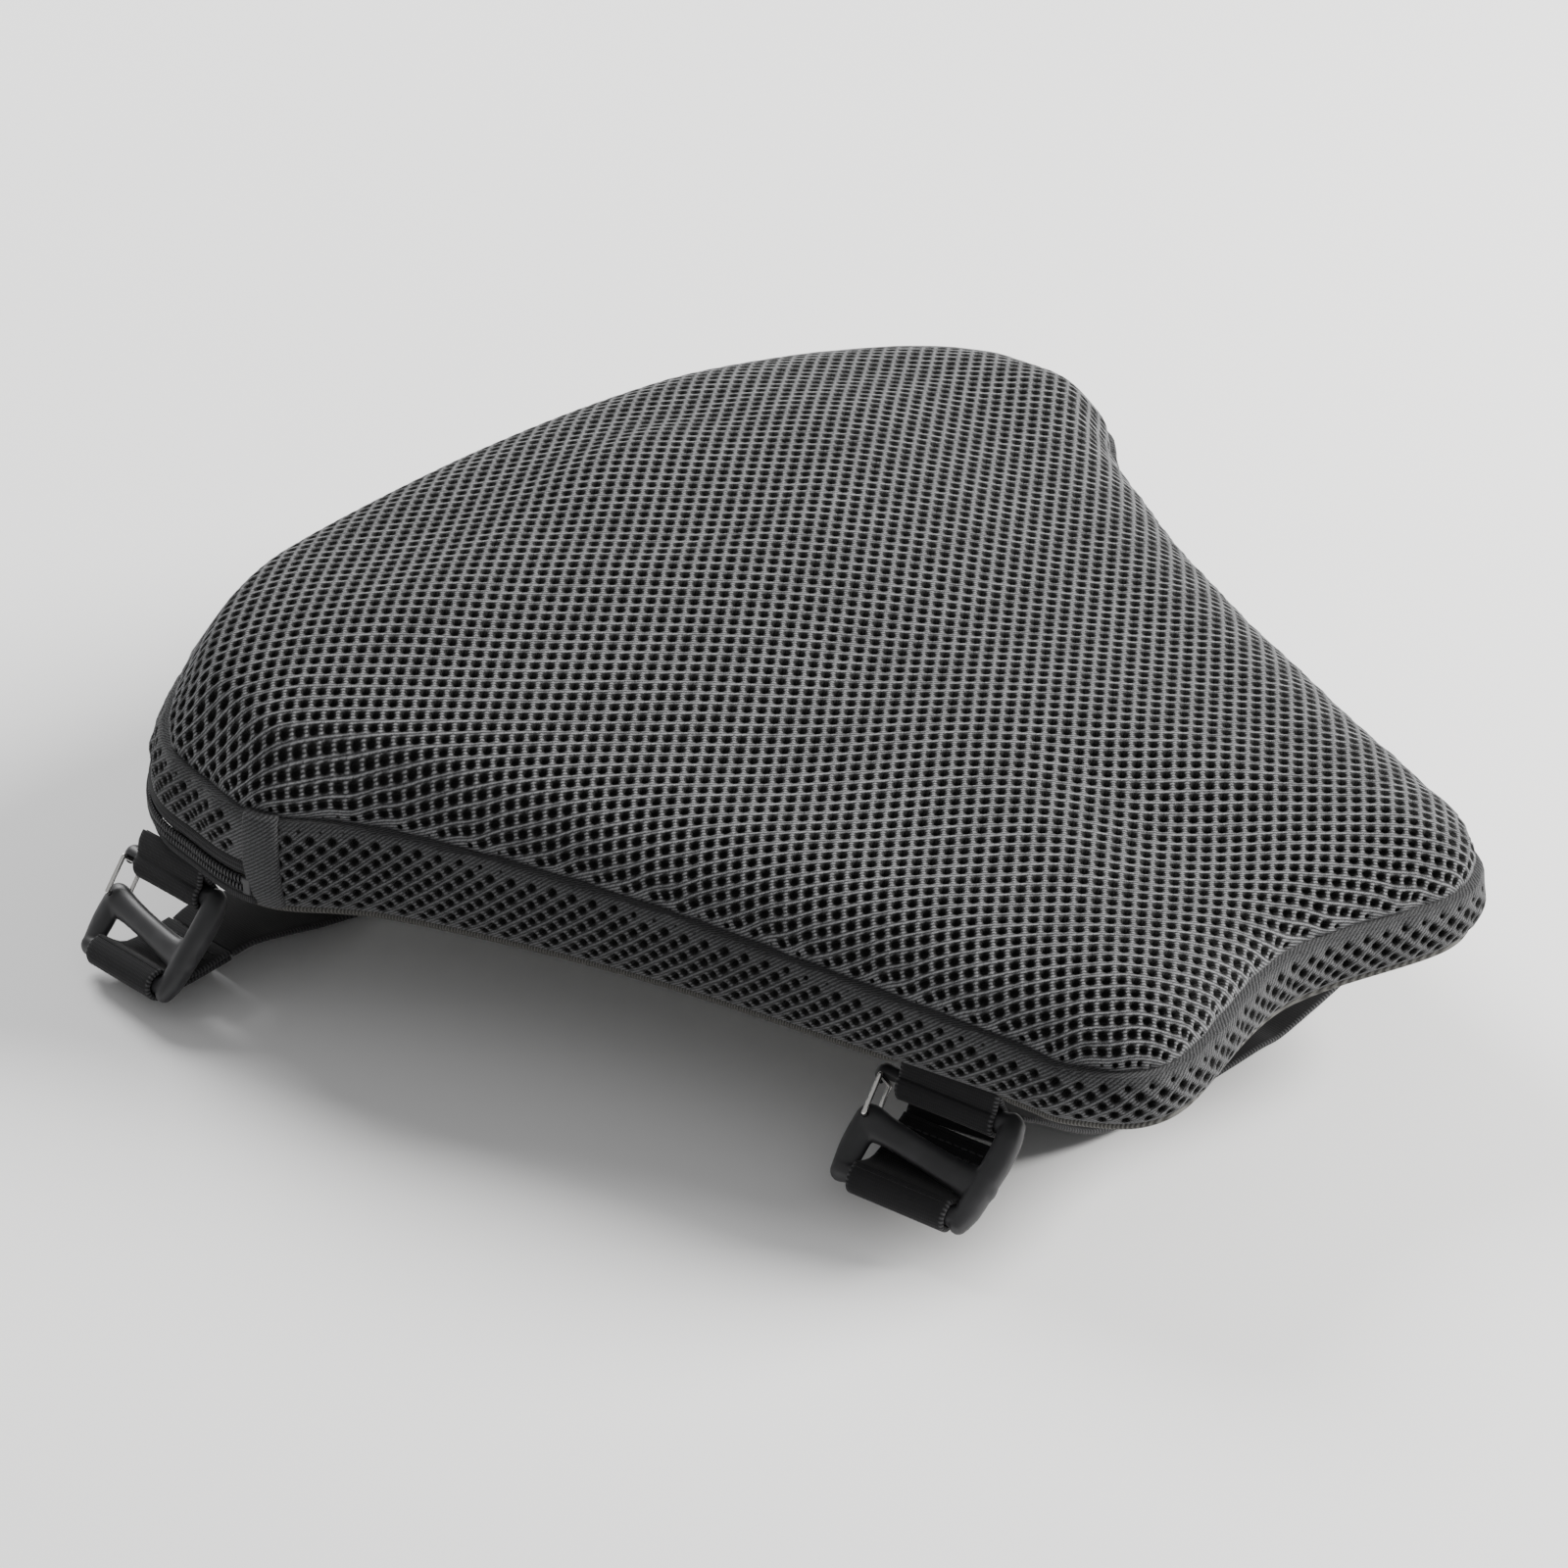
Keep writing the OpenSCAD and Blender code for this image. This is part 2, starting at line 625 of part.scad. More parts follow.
foam_core();
top_panel();
side_band();
band_join();
base_panel();
zip_tape_upper();
zip_tape_lower();
zip_coil_upper();
zip_coil_lower();
zip_bottom_stop();
zip_top_stops();
zip_slider();
zip_pull();
front_tab();
front_buckle();
front_gate();
front_strap_end();
front_bartack();
front_strap();
front_anchor_stitch();
rear_tab();
rear_buckle();
rear_gate();
rear_strap_end();
rear_bartack();
rear_strap();
rear_anchor_stitch();
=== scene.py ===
"""Looks of the strap-on support cushion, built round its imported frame.

Sizes are in millimetres here and become metres when a mesh is made. The cover's cloth is laid out
flat first, with u and v along it, and then carried onto the cushion.
"""

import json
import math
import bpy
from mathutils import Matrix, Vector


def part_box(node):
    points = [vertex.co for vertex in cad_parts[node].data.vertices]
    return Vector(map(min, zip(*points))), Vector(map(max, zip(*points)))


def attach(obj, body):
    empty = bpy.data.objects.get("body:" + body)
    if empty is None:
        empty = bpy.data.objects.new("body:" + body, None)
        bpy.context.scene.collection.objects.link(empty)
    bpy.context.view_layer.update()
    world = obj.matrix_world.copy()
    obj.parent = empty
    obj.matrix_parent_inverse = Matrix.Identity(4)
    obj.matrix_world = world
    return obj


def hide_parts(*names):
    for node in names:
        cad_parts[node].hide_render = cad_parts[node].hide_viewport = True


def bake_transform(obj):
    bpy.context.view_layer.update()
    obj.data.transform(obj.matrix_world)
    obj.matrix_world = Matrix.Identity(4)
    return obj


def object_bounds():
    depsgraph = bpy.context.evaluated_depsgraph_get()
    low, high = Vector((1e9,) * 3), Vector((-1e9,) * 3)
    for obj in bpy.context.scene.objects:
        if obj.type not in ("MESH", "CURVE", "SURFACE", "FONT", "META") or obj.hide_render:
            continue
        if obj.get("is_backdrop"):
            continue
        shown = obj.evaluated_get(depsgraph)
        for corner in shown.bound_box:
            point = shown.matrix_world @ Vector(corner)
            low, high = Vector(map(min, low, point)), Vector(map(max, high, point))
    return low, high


bl_info = {
    "name": "Strap-on support cushion",
    "version": (1, 0, 0),
    "blender": (4, 5, 0),
    "location": "3D View > Sidebar > Cushion",
    "description": "Builds the mesh-covered cushion with its zip, webbing and buckles",
    "category": "Object",
}

import bpy
import numpy as np
from mathutils import Matrix, Vector
from mathutils.bvhtree import BVHTree

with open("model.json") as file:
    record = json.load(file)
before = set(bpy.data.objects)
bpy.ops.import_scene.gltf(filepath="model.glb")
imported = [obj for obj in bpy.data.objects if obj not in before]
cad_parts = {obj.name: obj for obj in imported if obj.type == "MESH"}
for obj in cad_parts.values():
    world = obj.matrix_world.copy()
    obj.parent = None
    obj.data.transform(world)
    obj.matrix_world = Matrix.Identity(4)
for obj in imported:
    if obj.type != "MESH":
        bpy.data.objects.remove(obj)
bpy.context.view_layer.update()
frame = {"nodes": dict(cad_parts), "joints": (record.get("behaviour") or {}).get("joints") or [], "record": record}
MM = 0.001


# ---- Sizes taken from the frame ----
def box_mm(node):
    """Lowest and highest corner of a node, in millimetres."""
    return [np.array(corner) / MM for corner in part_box(node)]


def joint(name):
    """A joint's record by its name."""
    return next(j for j in frame["joints"] if j["name"] == name)


BASE_INSET = 2.5
HALF_W = box_mm("base_panel")[1][0] + BASE_INSET
REAR = box_mm("base_panel")[1][1] + BASE_INSET
FRONT = -box_mm("base_panel")[0][1] + BASE_INSET
REAR_RADIUS = 450
SEAM_FRONT, SEAM_REAR = 18.5, 38
CROWN_RISE, CROWN_RUN = 19, 37
REAR_LEAN, BAND_BULGE = 8.5, 1.5
BAND_FOOT = 2.3
ZIP_Z = box_mm("zip_coil_upper")[0][2] - 0.15
TAPE_TOP = box_mm("zip_tape_upper")[1][2]
STRAP_W, STRAP_T = 30, 1.4
BAR_R, BUCKLE_LEN, MIDDLE_AT = 3, 28, 14.5
GAP = 0.3
LOOP_R = BAR_R + GAP + STRAP_T / 2
CORNER_IN = 64
SHOULDER_Y = 98


# ---- Properties ----
def millimetres(name, description, default, low, high):
    """A float property for a length in millimetres."""
    return bpy.props.FloatProperty(
        name=name, description=description, default=default, min=low, max=high
    )


def colour(name, description, default):
    """A linear colour property."""
    return bpy.props.FloatVectorProperty(
        name=name, description=description, default=default, subtype="COLOR", min=0, max=1
    )


class CUSHION_PG_cover(bpy.types.PropertyGroup):
    """Sizes and colours of the cover's cloth."""

    pitch_across: millimetres("Pitch across", "Spacing of holes across the cushion", 6.1, 4, 9)
    pitch_along: millimetres("Pitch along", "Spacing of holes along the cushion", 5.2, 4, 9)
    hole_radius: millimetres("Hole radius", "Radius of one hole", 1.36, 0.6, 1.6)
    hole_depth: millimetres("Hole depth", "Depth of one hole", 1.9, 0.5, 2.8)
    # Also sets how far in the painted shade beside a seam reaches.
    selvedge_and_shade: millimetres("Selvedge", "Cloth pressed shut beside a seam", 3.4, 2, 10)
    valley: millimetres("Valley", "Depth of the hollow towards the front notch", 2.6, 0, 6)
    rear_rise: millimetres("Rear rise", "How much the filling lifts the rear", 5.5, 0, 8)
    yarn_light: colour("Light yarn", "Lighter yarn of the twist", (0.30, 0.305, 0.315))
    yarn_dark: colour("Dark yarn", "Darker yarn of the twist", (0.016, 0.016, 0.0175))
    hole_shade: colour("Hole shade", "Colour at the bottom of a hole", (0.003, 0.003, 0.003))
    base_light: colour("Base rib", "Colour of the base cloth's ribs", (0.105, 0.103, 0.096))
    base_dark: colour("Base furrow", "Colour between the ribs", (0.028, 0.027, 0.025))
    foam: colour("Foam", "Colour of the foam core", (0.72, 0.68, 0.55))


class CUSHION_PG_zip(bpy.types.PropertyGroup):
    """Sizes and colours of the zip."""

    tooth_pitch: millimetres("Tooth pitch", "Spacing of the coil's turns", 1.28, 0.9, 2)
    coil: colour("Coil", "Colour of the moulded coil", (0.018, 0.018, 0.02))
    tape: colour("Tape", "Colour of the woven tape", (0.014, 0.014, 0.015))
    enamel: colour("Enamel", "Colour of the slider and pull", (0.03, 0.03, 0.033))


class CUSHION_PG_straps(bpy.types.PropertyGroup):
    """Sizes and colours of the webbing and buckles."""

    edge_round: millimetres("Edge round", "Rounding of the webbing's edges", 0.55, 0.2, 0.7)
    stitch_length: millimetres("Stitch", "Length of one stitch", 2.4, 1.5, 4)
    webbing: colour("Webbing", "Colour of the elastic webbing", (0.010, 0.010, 0.011))
    webbing_edge: colour("Webbing edge", "Colour of the stitched edge", (0.075, 0.075, 0.078))
    thread: colour("Thread", "Colour of the sewing thread", (0.02, 0.02, 0.021))
    plastic: colour("Plastic", "Colour of the moulded buckle", (0.022, 0.022, 0.024))
    steel: colour("Steel", "Colour of the gate wire", (0.78, 0.77, 0.75))


class CUSHION_PG_stage(bpy.types.PropertyGroup):
    """Light and floor."""

    floor: colour("Floor", "Colour of the floor", (0.92, 0.92, 0.92))
    key_power: bpy.props.FloatProperty(
        name="Key light", description="Power of the key light in watts", default=105, min=0
    )
    fill_power: bpy.props.FloatProperty(
        name="Fill light", description="Power of the fill light in watts", default=1.0, min=0
    )


def settings(group):
    """One property group of the scene."""
    return getattr(bpy.context.scene, "cushion_" + group)


# ---- Shader maths ----
class Value:
    """A number that varies over a surface, for writing sums as Python expressions."""

    def __init__(self, finish, socket):
        self.finish = finish
        self.socket = socket

    def math(self, operation, *others):
        inputs = [self, *others]
        node = self.finish.node(
            "ShaderNodeMath", {"operation": operation}, dict(enumerate(inputs))
        )
        return Value(self.finish, node.outputs[0])

    def __add__(self, other):
        return self.math("ADD", other)

    __radd__ = __add__

    def __mul__(self, other):
        return self.math("MULTIPLY", other)

    __rmul__ = __mul__

    def __sub__(self, other):
        return self.math("SUBTRACT", other)

    def __rsub__(self, other):
        return (self * -1) + other

    def sine(self):
        return self.math("SINE")

    def size(self):
        return self.math("ABSOLUTE")

    def above(self, low, high):
        """0 at low and below, 1 at high and above, smooth between."""
        node = self.finish.node(
            "ShaderNodeMapRange",
            {"interpolation_type": "SMOOTHSTEP"},
            {"Value": self, "From Min": low, "From Max": high},
        )
        return Value(self.finish, node.outputs[0])


class Finish:
    """A material and the few ways its nodes are made."""

    def __init__(self, name):
        self.material = bpy.data.materials.new("cushion_" + name)
        self.material.use_nodes = True
        self.tree = self.material.node_tree
        self.shader = self.tree.nodes["Principled BSDF"]

    def node(self, kind, choices, inputs):
        node = self.tree.nodes.new(kind)
        for key, choice in choices.items():
            setattr(node, key, choice)
        for key, value in inputs.items():
            self.feed(node.inputs[key], value)
        return node

    def feed(self, socket, value):
        if isinstance(value, Value):
            value = value.socket
        if isinstance(value, bpy.types.NodeSocket):
            self.tree.links.new(value, socket)
        elif socket.type == "RGBA" and len(value) == 3:
            socket.default_value = (*value, 1)
        else:
            socket.default_value = value

    def set(self, **inputs):
        """Feeds the shader's own sockets; underscores stand for spaces."""
        for key, value in inputs.items():
            self.feed(self.shader.inputs[key.replace("_", " ")], value)
        return self

    def place(self):
        """Object coordinates in metres."""
        return self.node("ShaderNodeTexCoord", {}, {}).outputs["Object"]

    def cloth(self):
        """The u and v of the cloth, in millimetres."""
        uv = self.node("ShaderNodeUVMap", {"uv_map": "cloth"}, {})
        parts = self.node("ShaderNodeSeparateXYZ", {}, {0: uv.outputs[0]})
        return Value(self, parts.outputs[0]), Value(self, parts.outputs[1])

    def cloth_point(self):
        """The cloth's u and v as a vector."""
        return self.node("ShaderNodeUVMap", {"uv_map": "cloth"}, {}).outputs[0]

    def attribute(self, name):
        node = self.node("ShaderNodeAttribute", {"attribute_name": name}, {})
        return Value(self, node.outputs["Fac"])

    def noise(self, vector, scale, detail=2.0):
        node = self.node(
            "ShaderNodeTexNoise", {}, {"Vector": vector, "Scale": scale, "Detail": detail}
        )
        return Value(self, node.outputs["Fac"])

    def mix(self, share, first, second):
        node = self.node("ShaderNodeMix", {"data_type": "RGBA"}, {0: share, 6: first, 7: second})
        return node.outputs[2]

    def bump(self, height, strength, distance):
        node = self.node(
            "ShaderNodeBump", {}, {"Height": height, "Strength": strength, "Distance": distance}
        )
        return node.outputs[0]


def spacer_mesh_finish():
    """Grey twisted yarn with painted shade down the holes, in the seam's groove and over the side band."""
    cover = settings("cover")
    finish = Finish("spacer_mesh")
    u, v = finish.cloth()
    depth = finish.attribute("depth")
    painted_shade = finish.attribute("selvedge_and_shade")
    fibre = finish.noise(finish.cloth_point(), 3.4, 3)
    broad = finish.noise(finish.place(), 26, 1)
    twist = ((u * 4.1 + v * 5.3) + fibre * 5).sine() * 0.5 + 0.5
    pairs = ((v * (4 * math.pi / 5.2)).sine().size()).above(0.0, 0.45)
    fuzz = finish.noise(finish.cloth_point(), 5, 2).above(0.5, 0.66)
    lightness = twist * 0.62 + fibre * 0.5 + fuzz * 0.3 + broad * 0.2 - 0.3
    yarn = finish.mix(
        (lightness * (pairs * 0.4 + 0.6)).above(0.0, 1.0), cover.yarn_dark, cover.yarn_light
    )
    # Painted shade in the seam's groove and over the side band: the yarn is mixed towards near-black.
    seam_shade = finish.mix(painted_shade * 0.7, yarn, (0.013, 0.013, 0.014))
    shaded = finish.mix(depth.above(0.06, 0.22), seam_shade, cover.hole_shade)
    finish.set(Base_Color=shaded, Roughness=0.92 - fuzz * 0.12)
    finish.set(Normal=finish.bump(twist * 0.6 + fibre * 0.8 + fuzz * 0.5, 0.8, 0.0004))
    finish.set(Specular_IOR_Level=0.22, Sheen_Weight=0.12, Sheen_Roughness=0.5)
    return finish.material


def ribbed_finish():
    """Fine ribs across the base cloth."""
    cover = settings("cover")
    finish = Finish("ribbed_base")
    u, v = finish.cloth()
    rib = (v * (2 * math.pi / 0.78)).sine() * 0.5 + 0.5
    thread = (u * (2 * math.pi / 0.5)).sine() * 0.5 + 0.5
    dust = finish.noise(finish.cloth_point(), 1.7, 3)
    tone = rib * 0.7 + thread * 0.12 + dust * 0.3 - 0.08
    finish.set(Base_Color=finish.mix(tone.above(0.0, 1.0), cover.base_dark, cover.base_light))
    finish.set(Roughness=0.85 - rib * 0.1)
    finish.set(Normal=finish.bump(rib + thread * 0.25, 0.8, 0.0003))
    finish.set(Specular_IOR_Level=0.25)
    return finish.material


def webbing_finish():
    """Fine elastic weave with a lighter, stitched edge; u runs across the webbing."""
    straps = settings("straps")
    finish = Finish("webbing")
    u, v = finish.cloth()
    rows = (v * (2 * math.pi / 0.85)).sine() * 0.5 + 0.5
    cords = (u * (2 * math.pi / 0.62)).sine() * 0.5 + 0.5
    lint = finish.noise(finish.cloth_point(), 2.6, 4)
    specks = finish.noise(finish.cloth_point(), 7.5, 2).above(0.6, 0.78)
    edge = u.size().above(STRAP_W / 2 - 1.5, STRAP_W / 2 - 0.4)
    whip = ((v * (2 * math.pi / 1.1)).sine() * 0.5 + 0.5) * edge
    share = whip * 0.75 + specks * 0.16 + lint * rows * 0.13
    finish.set(Base_Color=finish.mix(share.above(0.0, 1.0), straps.webbing, straps.webbing_edge))
    finish.set(Roughness=0.82 + lint * 0.15)
    finish.set(Normal=finish.bump(rows * cords * 0.6 + whip * 0.8 + lint * 0.5, 0.6, 0.0002))
    finish.set(Specular_IOR_Level=0.3, Sheen_Weight=0.08, Sheen_Roughness=0.4)
    return finish.material


def tape_finish():
    """Herringbone weave of the zip tape."""
    zipper = settings("zip")
    finish = Finish("zip_tape")
    u, v = finish.cloth()
    zigzag = ((v * 2.4).sine() * 1.4 + u * (2 * math.pi / 0.7)).sine() * 0.5 + 0.5
    lint = finish.noise(finish.cloth_point(), 3, 3)
    tint = finish.mix((zigzag * 0.5 + lint * 0.4).above(0.2, 0.9), zipper.tape, (0.05, 0.05, 0.052))
    finish.set(Base_Color=tint, Roughness=0.9 - lint * 0.1)
    finish.set(Normal=finish.bump(zigzag + lint * 0.4, 0.5, 0.0002), Specular_IOR_Level=0.25)
    return finish.material


def moulded_finish(name, tint, rough, grain):
    """Fine moulded plastic with faint handling marks."""
    finish = Finish(name)
    fine = finish.noise(finish.place(), grain, 3)
    cloudy = finish.noise(finish.place(), 120, 2)
    lighter = tuple(min(1, part * 1.5 + 0.006) for part in tint)
    finish.set(Base_Color=finish.mix(cloudy.above(0.35, 0.75) * 0.6, tint, lighter))
    finish.set(Roughness=cloudy * 0.14 + fine * 0.06 + (rough - 0.1))
    finish.set(Normal=finish.bump(fine, 0.18, 0.00006), Specular_IOR_Level=0.5)
    return finish.material


def steel_finish():
    """Polished wire with drawing lines."""
    finish = Finish("gate_wire")
    lines = finish.noise(finish.place(), 1500, 2)
    dull = tuple(part * 0.8 for part in settings("straps").steel)
    finish.set(Base_Color=finish.mix(lines * 0.5, settings("straps").steel, dull))
    finish.set(Metallic=1.0, Roughness=lines * 0.14 + 0.1)
    return finish.material


def thread_finish():
    """Twisted sewing thread."""
    finish = Finish("thread")
    ply = finish.noise(finish.place(), 2600, 2)
    tint = settings("straps").thread
    lighter = tuple(part * 3 for part in tint)
    finish.set(Base_Color=finish.mix(ply, tint, lighter), Roughness=0.75 + ply * 0.1)
    finish.set(Normal=finish.bump(ply, 0.4, 0.0001), Specular_IOR_Level=0.3)
    return finish.material


def foam_finish():
    """Open-cell foam."""
    finish = Finish("foam")
    cells = finish.node(
        "ShaderNodeTexVoronoi", {}, {"Vector": finish.place(), "Scale": 900.0}
    )
    wall = Value(finish, cells.outputs["Distance"])
    tint = settings("cover").foam
    darker = tuple(part * 0.55 for part in tint)
    finish.set(Base_Color=finish.mix(wall.above(0.1, 0.7), darker, tint), Roughness=0.95)
    finish.set(Normal=finish.bump(wall, 0.6, 0.0004))
    return finish.material


def material(name):
    """The finish of that name, made once."""
    made = bpy.data.materials.get("cushion_" + name)
    if made:
        return made
    straps, zipper = settings("straps"), settings("zip")
    makers = {
        "spacer_mesh": spacer_mesh_finish,
        "ribbed_base": ribbed_finish,
        "webbing": webbing_finish,
        "zip_tape": tape_finish,
        "gate_wire": steel_finish,
        "thread": thread_finish,
        "foam": foam_finish,
        "buckle_plastic": lambda: moulded_finish("buckle_plastic", straps.plastic, 0.46, 2200),
        "zip_coil": lambda: moulded_finish("zip_coil", zipper.coil, 0.38, 1800),
        "zip_metal": lambda: moulded_finish("zip_metal", zipper.enamel, 0.32, 900),
    }
    return makers[name]()


# ---- Making meshes ----
def make_piece(name, verts, faces, finish, uv=None, values=None):
    """A smooth mesh object from millimetre points, with per-point cloth coordinates."""
    mesh = bpy.data.meshes.new(name)
    mesh.from_pydata((np.asarray(verts) * MM).tolist(), [], faces)
    mesh.polygons.foreach_set("use_smooth", [True] * len(mesh.polygons))
    corners = np.empty(len(mesh.loops), int)
    mesh.loops.foreach_get("vertex_index", corners)
    layer = mesh.uv_layers.new(name="cloth")
    points = np.zeros((len(verts), 2)) if uv is None else np.asarray(uv)
    layer.data.foreach_set("uv", points[corners].astype(np.float32).ravel())
    for key, numbers in (values or {}).items():
        attribute = mesh.attributes.new(key, "FLOAT", "POINT")
        attribute.data.foreach_set("value", np.asarray(numbers, np.float32))
    mesh.update()
    obj = bpy.data.objects.new(name, mesh)
    bpy.context.scene.collection.objects.link(obj)
    obj.data.materials.append(material(finish))
    return obj


def settle(obj, body, slot, *nodes):
    """Hands a finished piece to the frame."""
    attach(obj, body)
    if nodes:
        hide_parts(*nodes)
    return obj


def pick(obj):
    """Selects one object alone and makes it active."""
    bpy.ops.object.select_all(action="DESELECT")
    obj.select_set(True)
    bpy.context.view_layer.objects.active = obj


def apply_modifiers(obj):
    pick(obj)
    for modifier in list(obj.modifiers):
        bpy.ops.object.modifier_apply(modifier=modifier.name)


def clean(obj, distance):
    """Joins doubled points, drops empty faces and turns the faces outwards."""
    pick(obj)
    bpy.ops.object.mode_set(mode="EDIT")
    bpy.ops.mesh.select_all(action="SELECT")
    bpy.ops.mesh.remove_doubles(threshold=distance * MM)
    bpy.ops.mesh.dissolve_degenerate(threshold=0.5 * distance * MM)
    bpy.ops.mesh.delete_loose()
    bpy.ops.mesh.select_all(action="SELECT")
    bpy.ops.mesh.normals_make_consistent(inside=False)
    bpy.ops.object.mode_set(mode="OBJECT")


def smoothstep(low, high, x):
    t = np.clip((x - low) / (high - low), 0, 1)
    return t * t * (3 - 2 * t)


def catmull(points, steps):
    """Smooth curve through points; each stretch gets that many steps."""
    points = np.asarray(points, float)
    last = len(points) - 1
    curve = []
    for k in range(last):
        a, b, c, d = (points[min(max(n, 0), last)] for n in range(k - 1, k + 3))
        for t in np.arange(steps) / steps:
            curve.append(
                0.5 * (2 * b + (c - a) * t + (2 * a - 5 * b + 4 * c - d) * t**2
                       + (3 * b - a - 3 * c + d) * t**3)
            )
    curve.append(points[-1])
    return np.array(curve)


def lengths(points):
    """Distance along a curve at each of its points."""
    return np.concatenate([[0], np.cumsum(np.linalg.norm(np.diff(points, axis=0), axis=1))])


# ---- The cushion's outline ----
def outline_half():
    """Right half of the outline, from the middle of the rear to the middle of the front."""
    arc_y = REAR - REAR_RADIUS
    span = math.asin((HALF_W - CORNER_IN) / REAR_RADIUS)
    angles = np.linspace(0, span, 30)[:-1]
    arc = np.stack([REAR_RADIUS * np.sin(angles), arc_y + REAR_RADIUS * np.cos(angles)], 1)
    tip = np.array([REAR_RADIUS * math.sin(span), arc_y + REAR_RADIUS * math.cos(span)])
    shoulder = np.array([HALF_W, SHOULDER_Y])
    lead = tip + 15 * np.array([math.cos(span), -math.sin(span)])
    t = np.linspace(0, 1, 25)[:-1, None]
    corner = (
        (1 - t) ** 3 * tip + 3 * (1 - t) ** 2 * t * lead
        + 3 * (1 - t) * t**2 * (shoulder + [0, 35]) + t**3 * shoulder
    )
    nose = HALF_W - 83
    right = [
        [HALF_W, SHOULDER_Y], [HALF_W - 1, 64], [HALF_W - 24, 32], [HALF_W - 54, -36],
        [nose, 43 - FRONT], [nose - 8, 16 - FRONT], [nose - 31, -FRONT], [0, 12 - FRONT],
    ]
    left = [[-x, y] for x, y in reversed(right[:-1])]
    whole = catmull([[HALF_W - 1, 132]] + right + left[:1], 14)
    return np.concatenate([arc, corner, whole[14:-14]])


def even(points, count):
    """A closed curve at even steps."""
    ring = np.concatenate([points, points[:1]])
    along = lengths(ring)
    steps = np.linspace(0, along[-1], count + 1)[:-1]
    return np.stack([np.interp(steps, along, ring[:, k]) for k in (0, 1)], 1), along[-1]


class Edge:
    """The outline as a closed curve: places, outward normals and distances from it."""

    def __init__(self):
        half = outline_half()
        mirrored = half[-2:0:-1] * [-1, 1]
        self.points, self.length = even(np.concatenate([half, mirrored]), 900)
        self.steps = np.linspace(0, self.length, len(self.points) + 1)
        way = np.roll(self.points, -3, 0) - np.roll(self.points, 3, 0)
        way /= np.linalg.norm(way, axis=1)[:, None]
        self.normals = np.stack([-way[:, 1], way[:, 0]], 1)
        self.lean = REAR_LEAN * np.maximum(0, self.normals[:, 1])
        self.seam = self.points - (self.lean[:, None] + 1) * self.normals

    def along(self, table, s):
        """A per-point table read at distance s round the edge."""
        ring = np.concatenate([table, table[:1]])
        s = np.mod(s, self.length)
        if ring.ndim == 1:
            return np.interp(s, self.steps, ring)
        return np.stack([np.interp(s, self.steps, ring[:, k]) for k in range(ring.shape[1])], -1)

    def nearest(self, places):
        """Signed distance inside the seam line, outward normal and distance round the edge."""
        ends = np.roll(self.seam, -1, 0)
        spans = ends - self.seam
        found = [np.empty(len(places)), np.empty((len(places), 2)), np.empty(len(places))]
        for first in range(0, len(places), 4000):
            some = places[first:first + 4000]
            to = some[:, None] - self.seam[None]
            t = np.clip((to * spans).sum(2) / (spans**2).sum(1), 0, 1)
            gap = to - t[..., None] * spans
            k = (gap**2).sum(2).argmin(1)
            row = np.arange(len(some))
            share = t[row, k]
            normal = self.normals[k] * (1 - share)[:, None]
            normal += self.normals[(k + 1) % len(ends)] * share[:, None]
            normal /= np.linalg.norm(normal, axis=1)[:, None]
            offset = gap[row, k]
            side = -np.sign((offset * normal).sum(1) + 1e-12)
            found[0][first:first + 4000] = side * np.linalg.norm(offset, axis=1)
            found[1][first:first + 4000] = normal
            found[2][first:first + 4000] = self.steps[k] + share * np.diff(self.steps)[k]
        return found

    def find(self, x, y):
        """Distance round the edge of the point nearest to a place."""
        return self.steps[np.linalg.norm(self.points - [x, y], axis=1).argmin()]


EDGE = Edge()
JOIN_S = EDGE.find(-(HALF_W - 1), 64)
ZIP_END_S = EDGE.find(HALF_W - CORNER_IN, REAR - 12)


def seam_height(y):
    return SEAM_FRONT + (SEAM_REAR - SEAM_FRONT) * np.clip((y + FRONT) / (REAR + FRONT), 0, 1)


def pucker(s, depth):
    """Small uneven pulls along a seam."""
    turn = 2 * math.pi * s / EDGE.length
    waves = np.sin(61 * turn + 1.1 * np.sin(9 * turn)) + 0.6 * np.sin(97 * turn + 2)
    return depth * (0.45 * waves + 0.35 * np.sin(23 * turn + 0.7))


def crown(d):
    return CROWN_RISE * np.sqrt(1 - (1 - np.clip(d / CROWN_RUN, 0, 1)) ** 2)


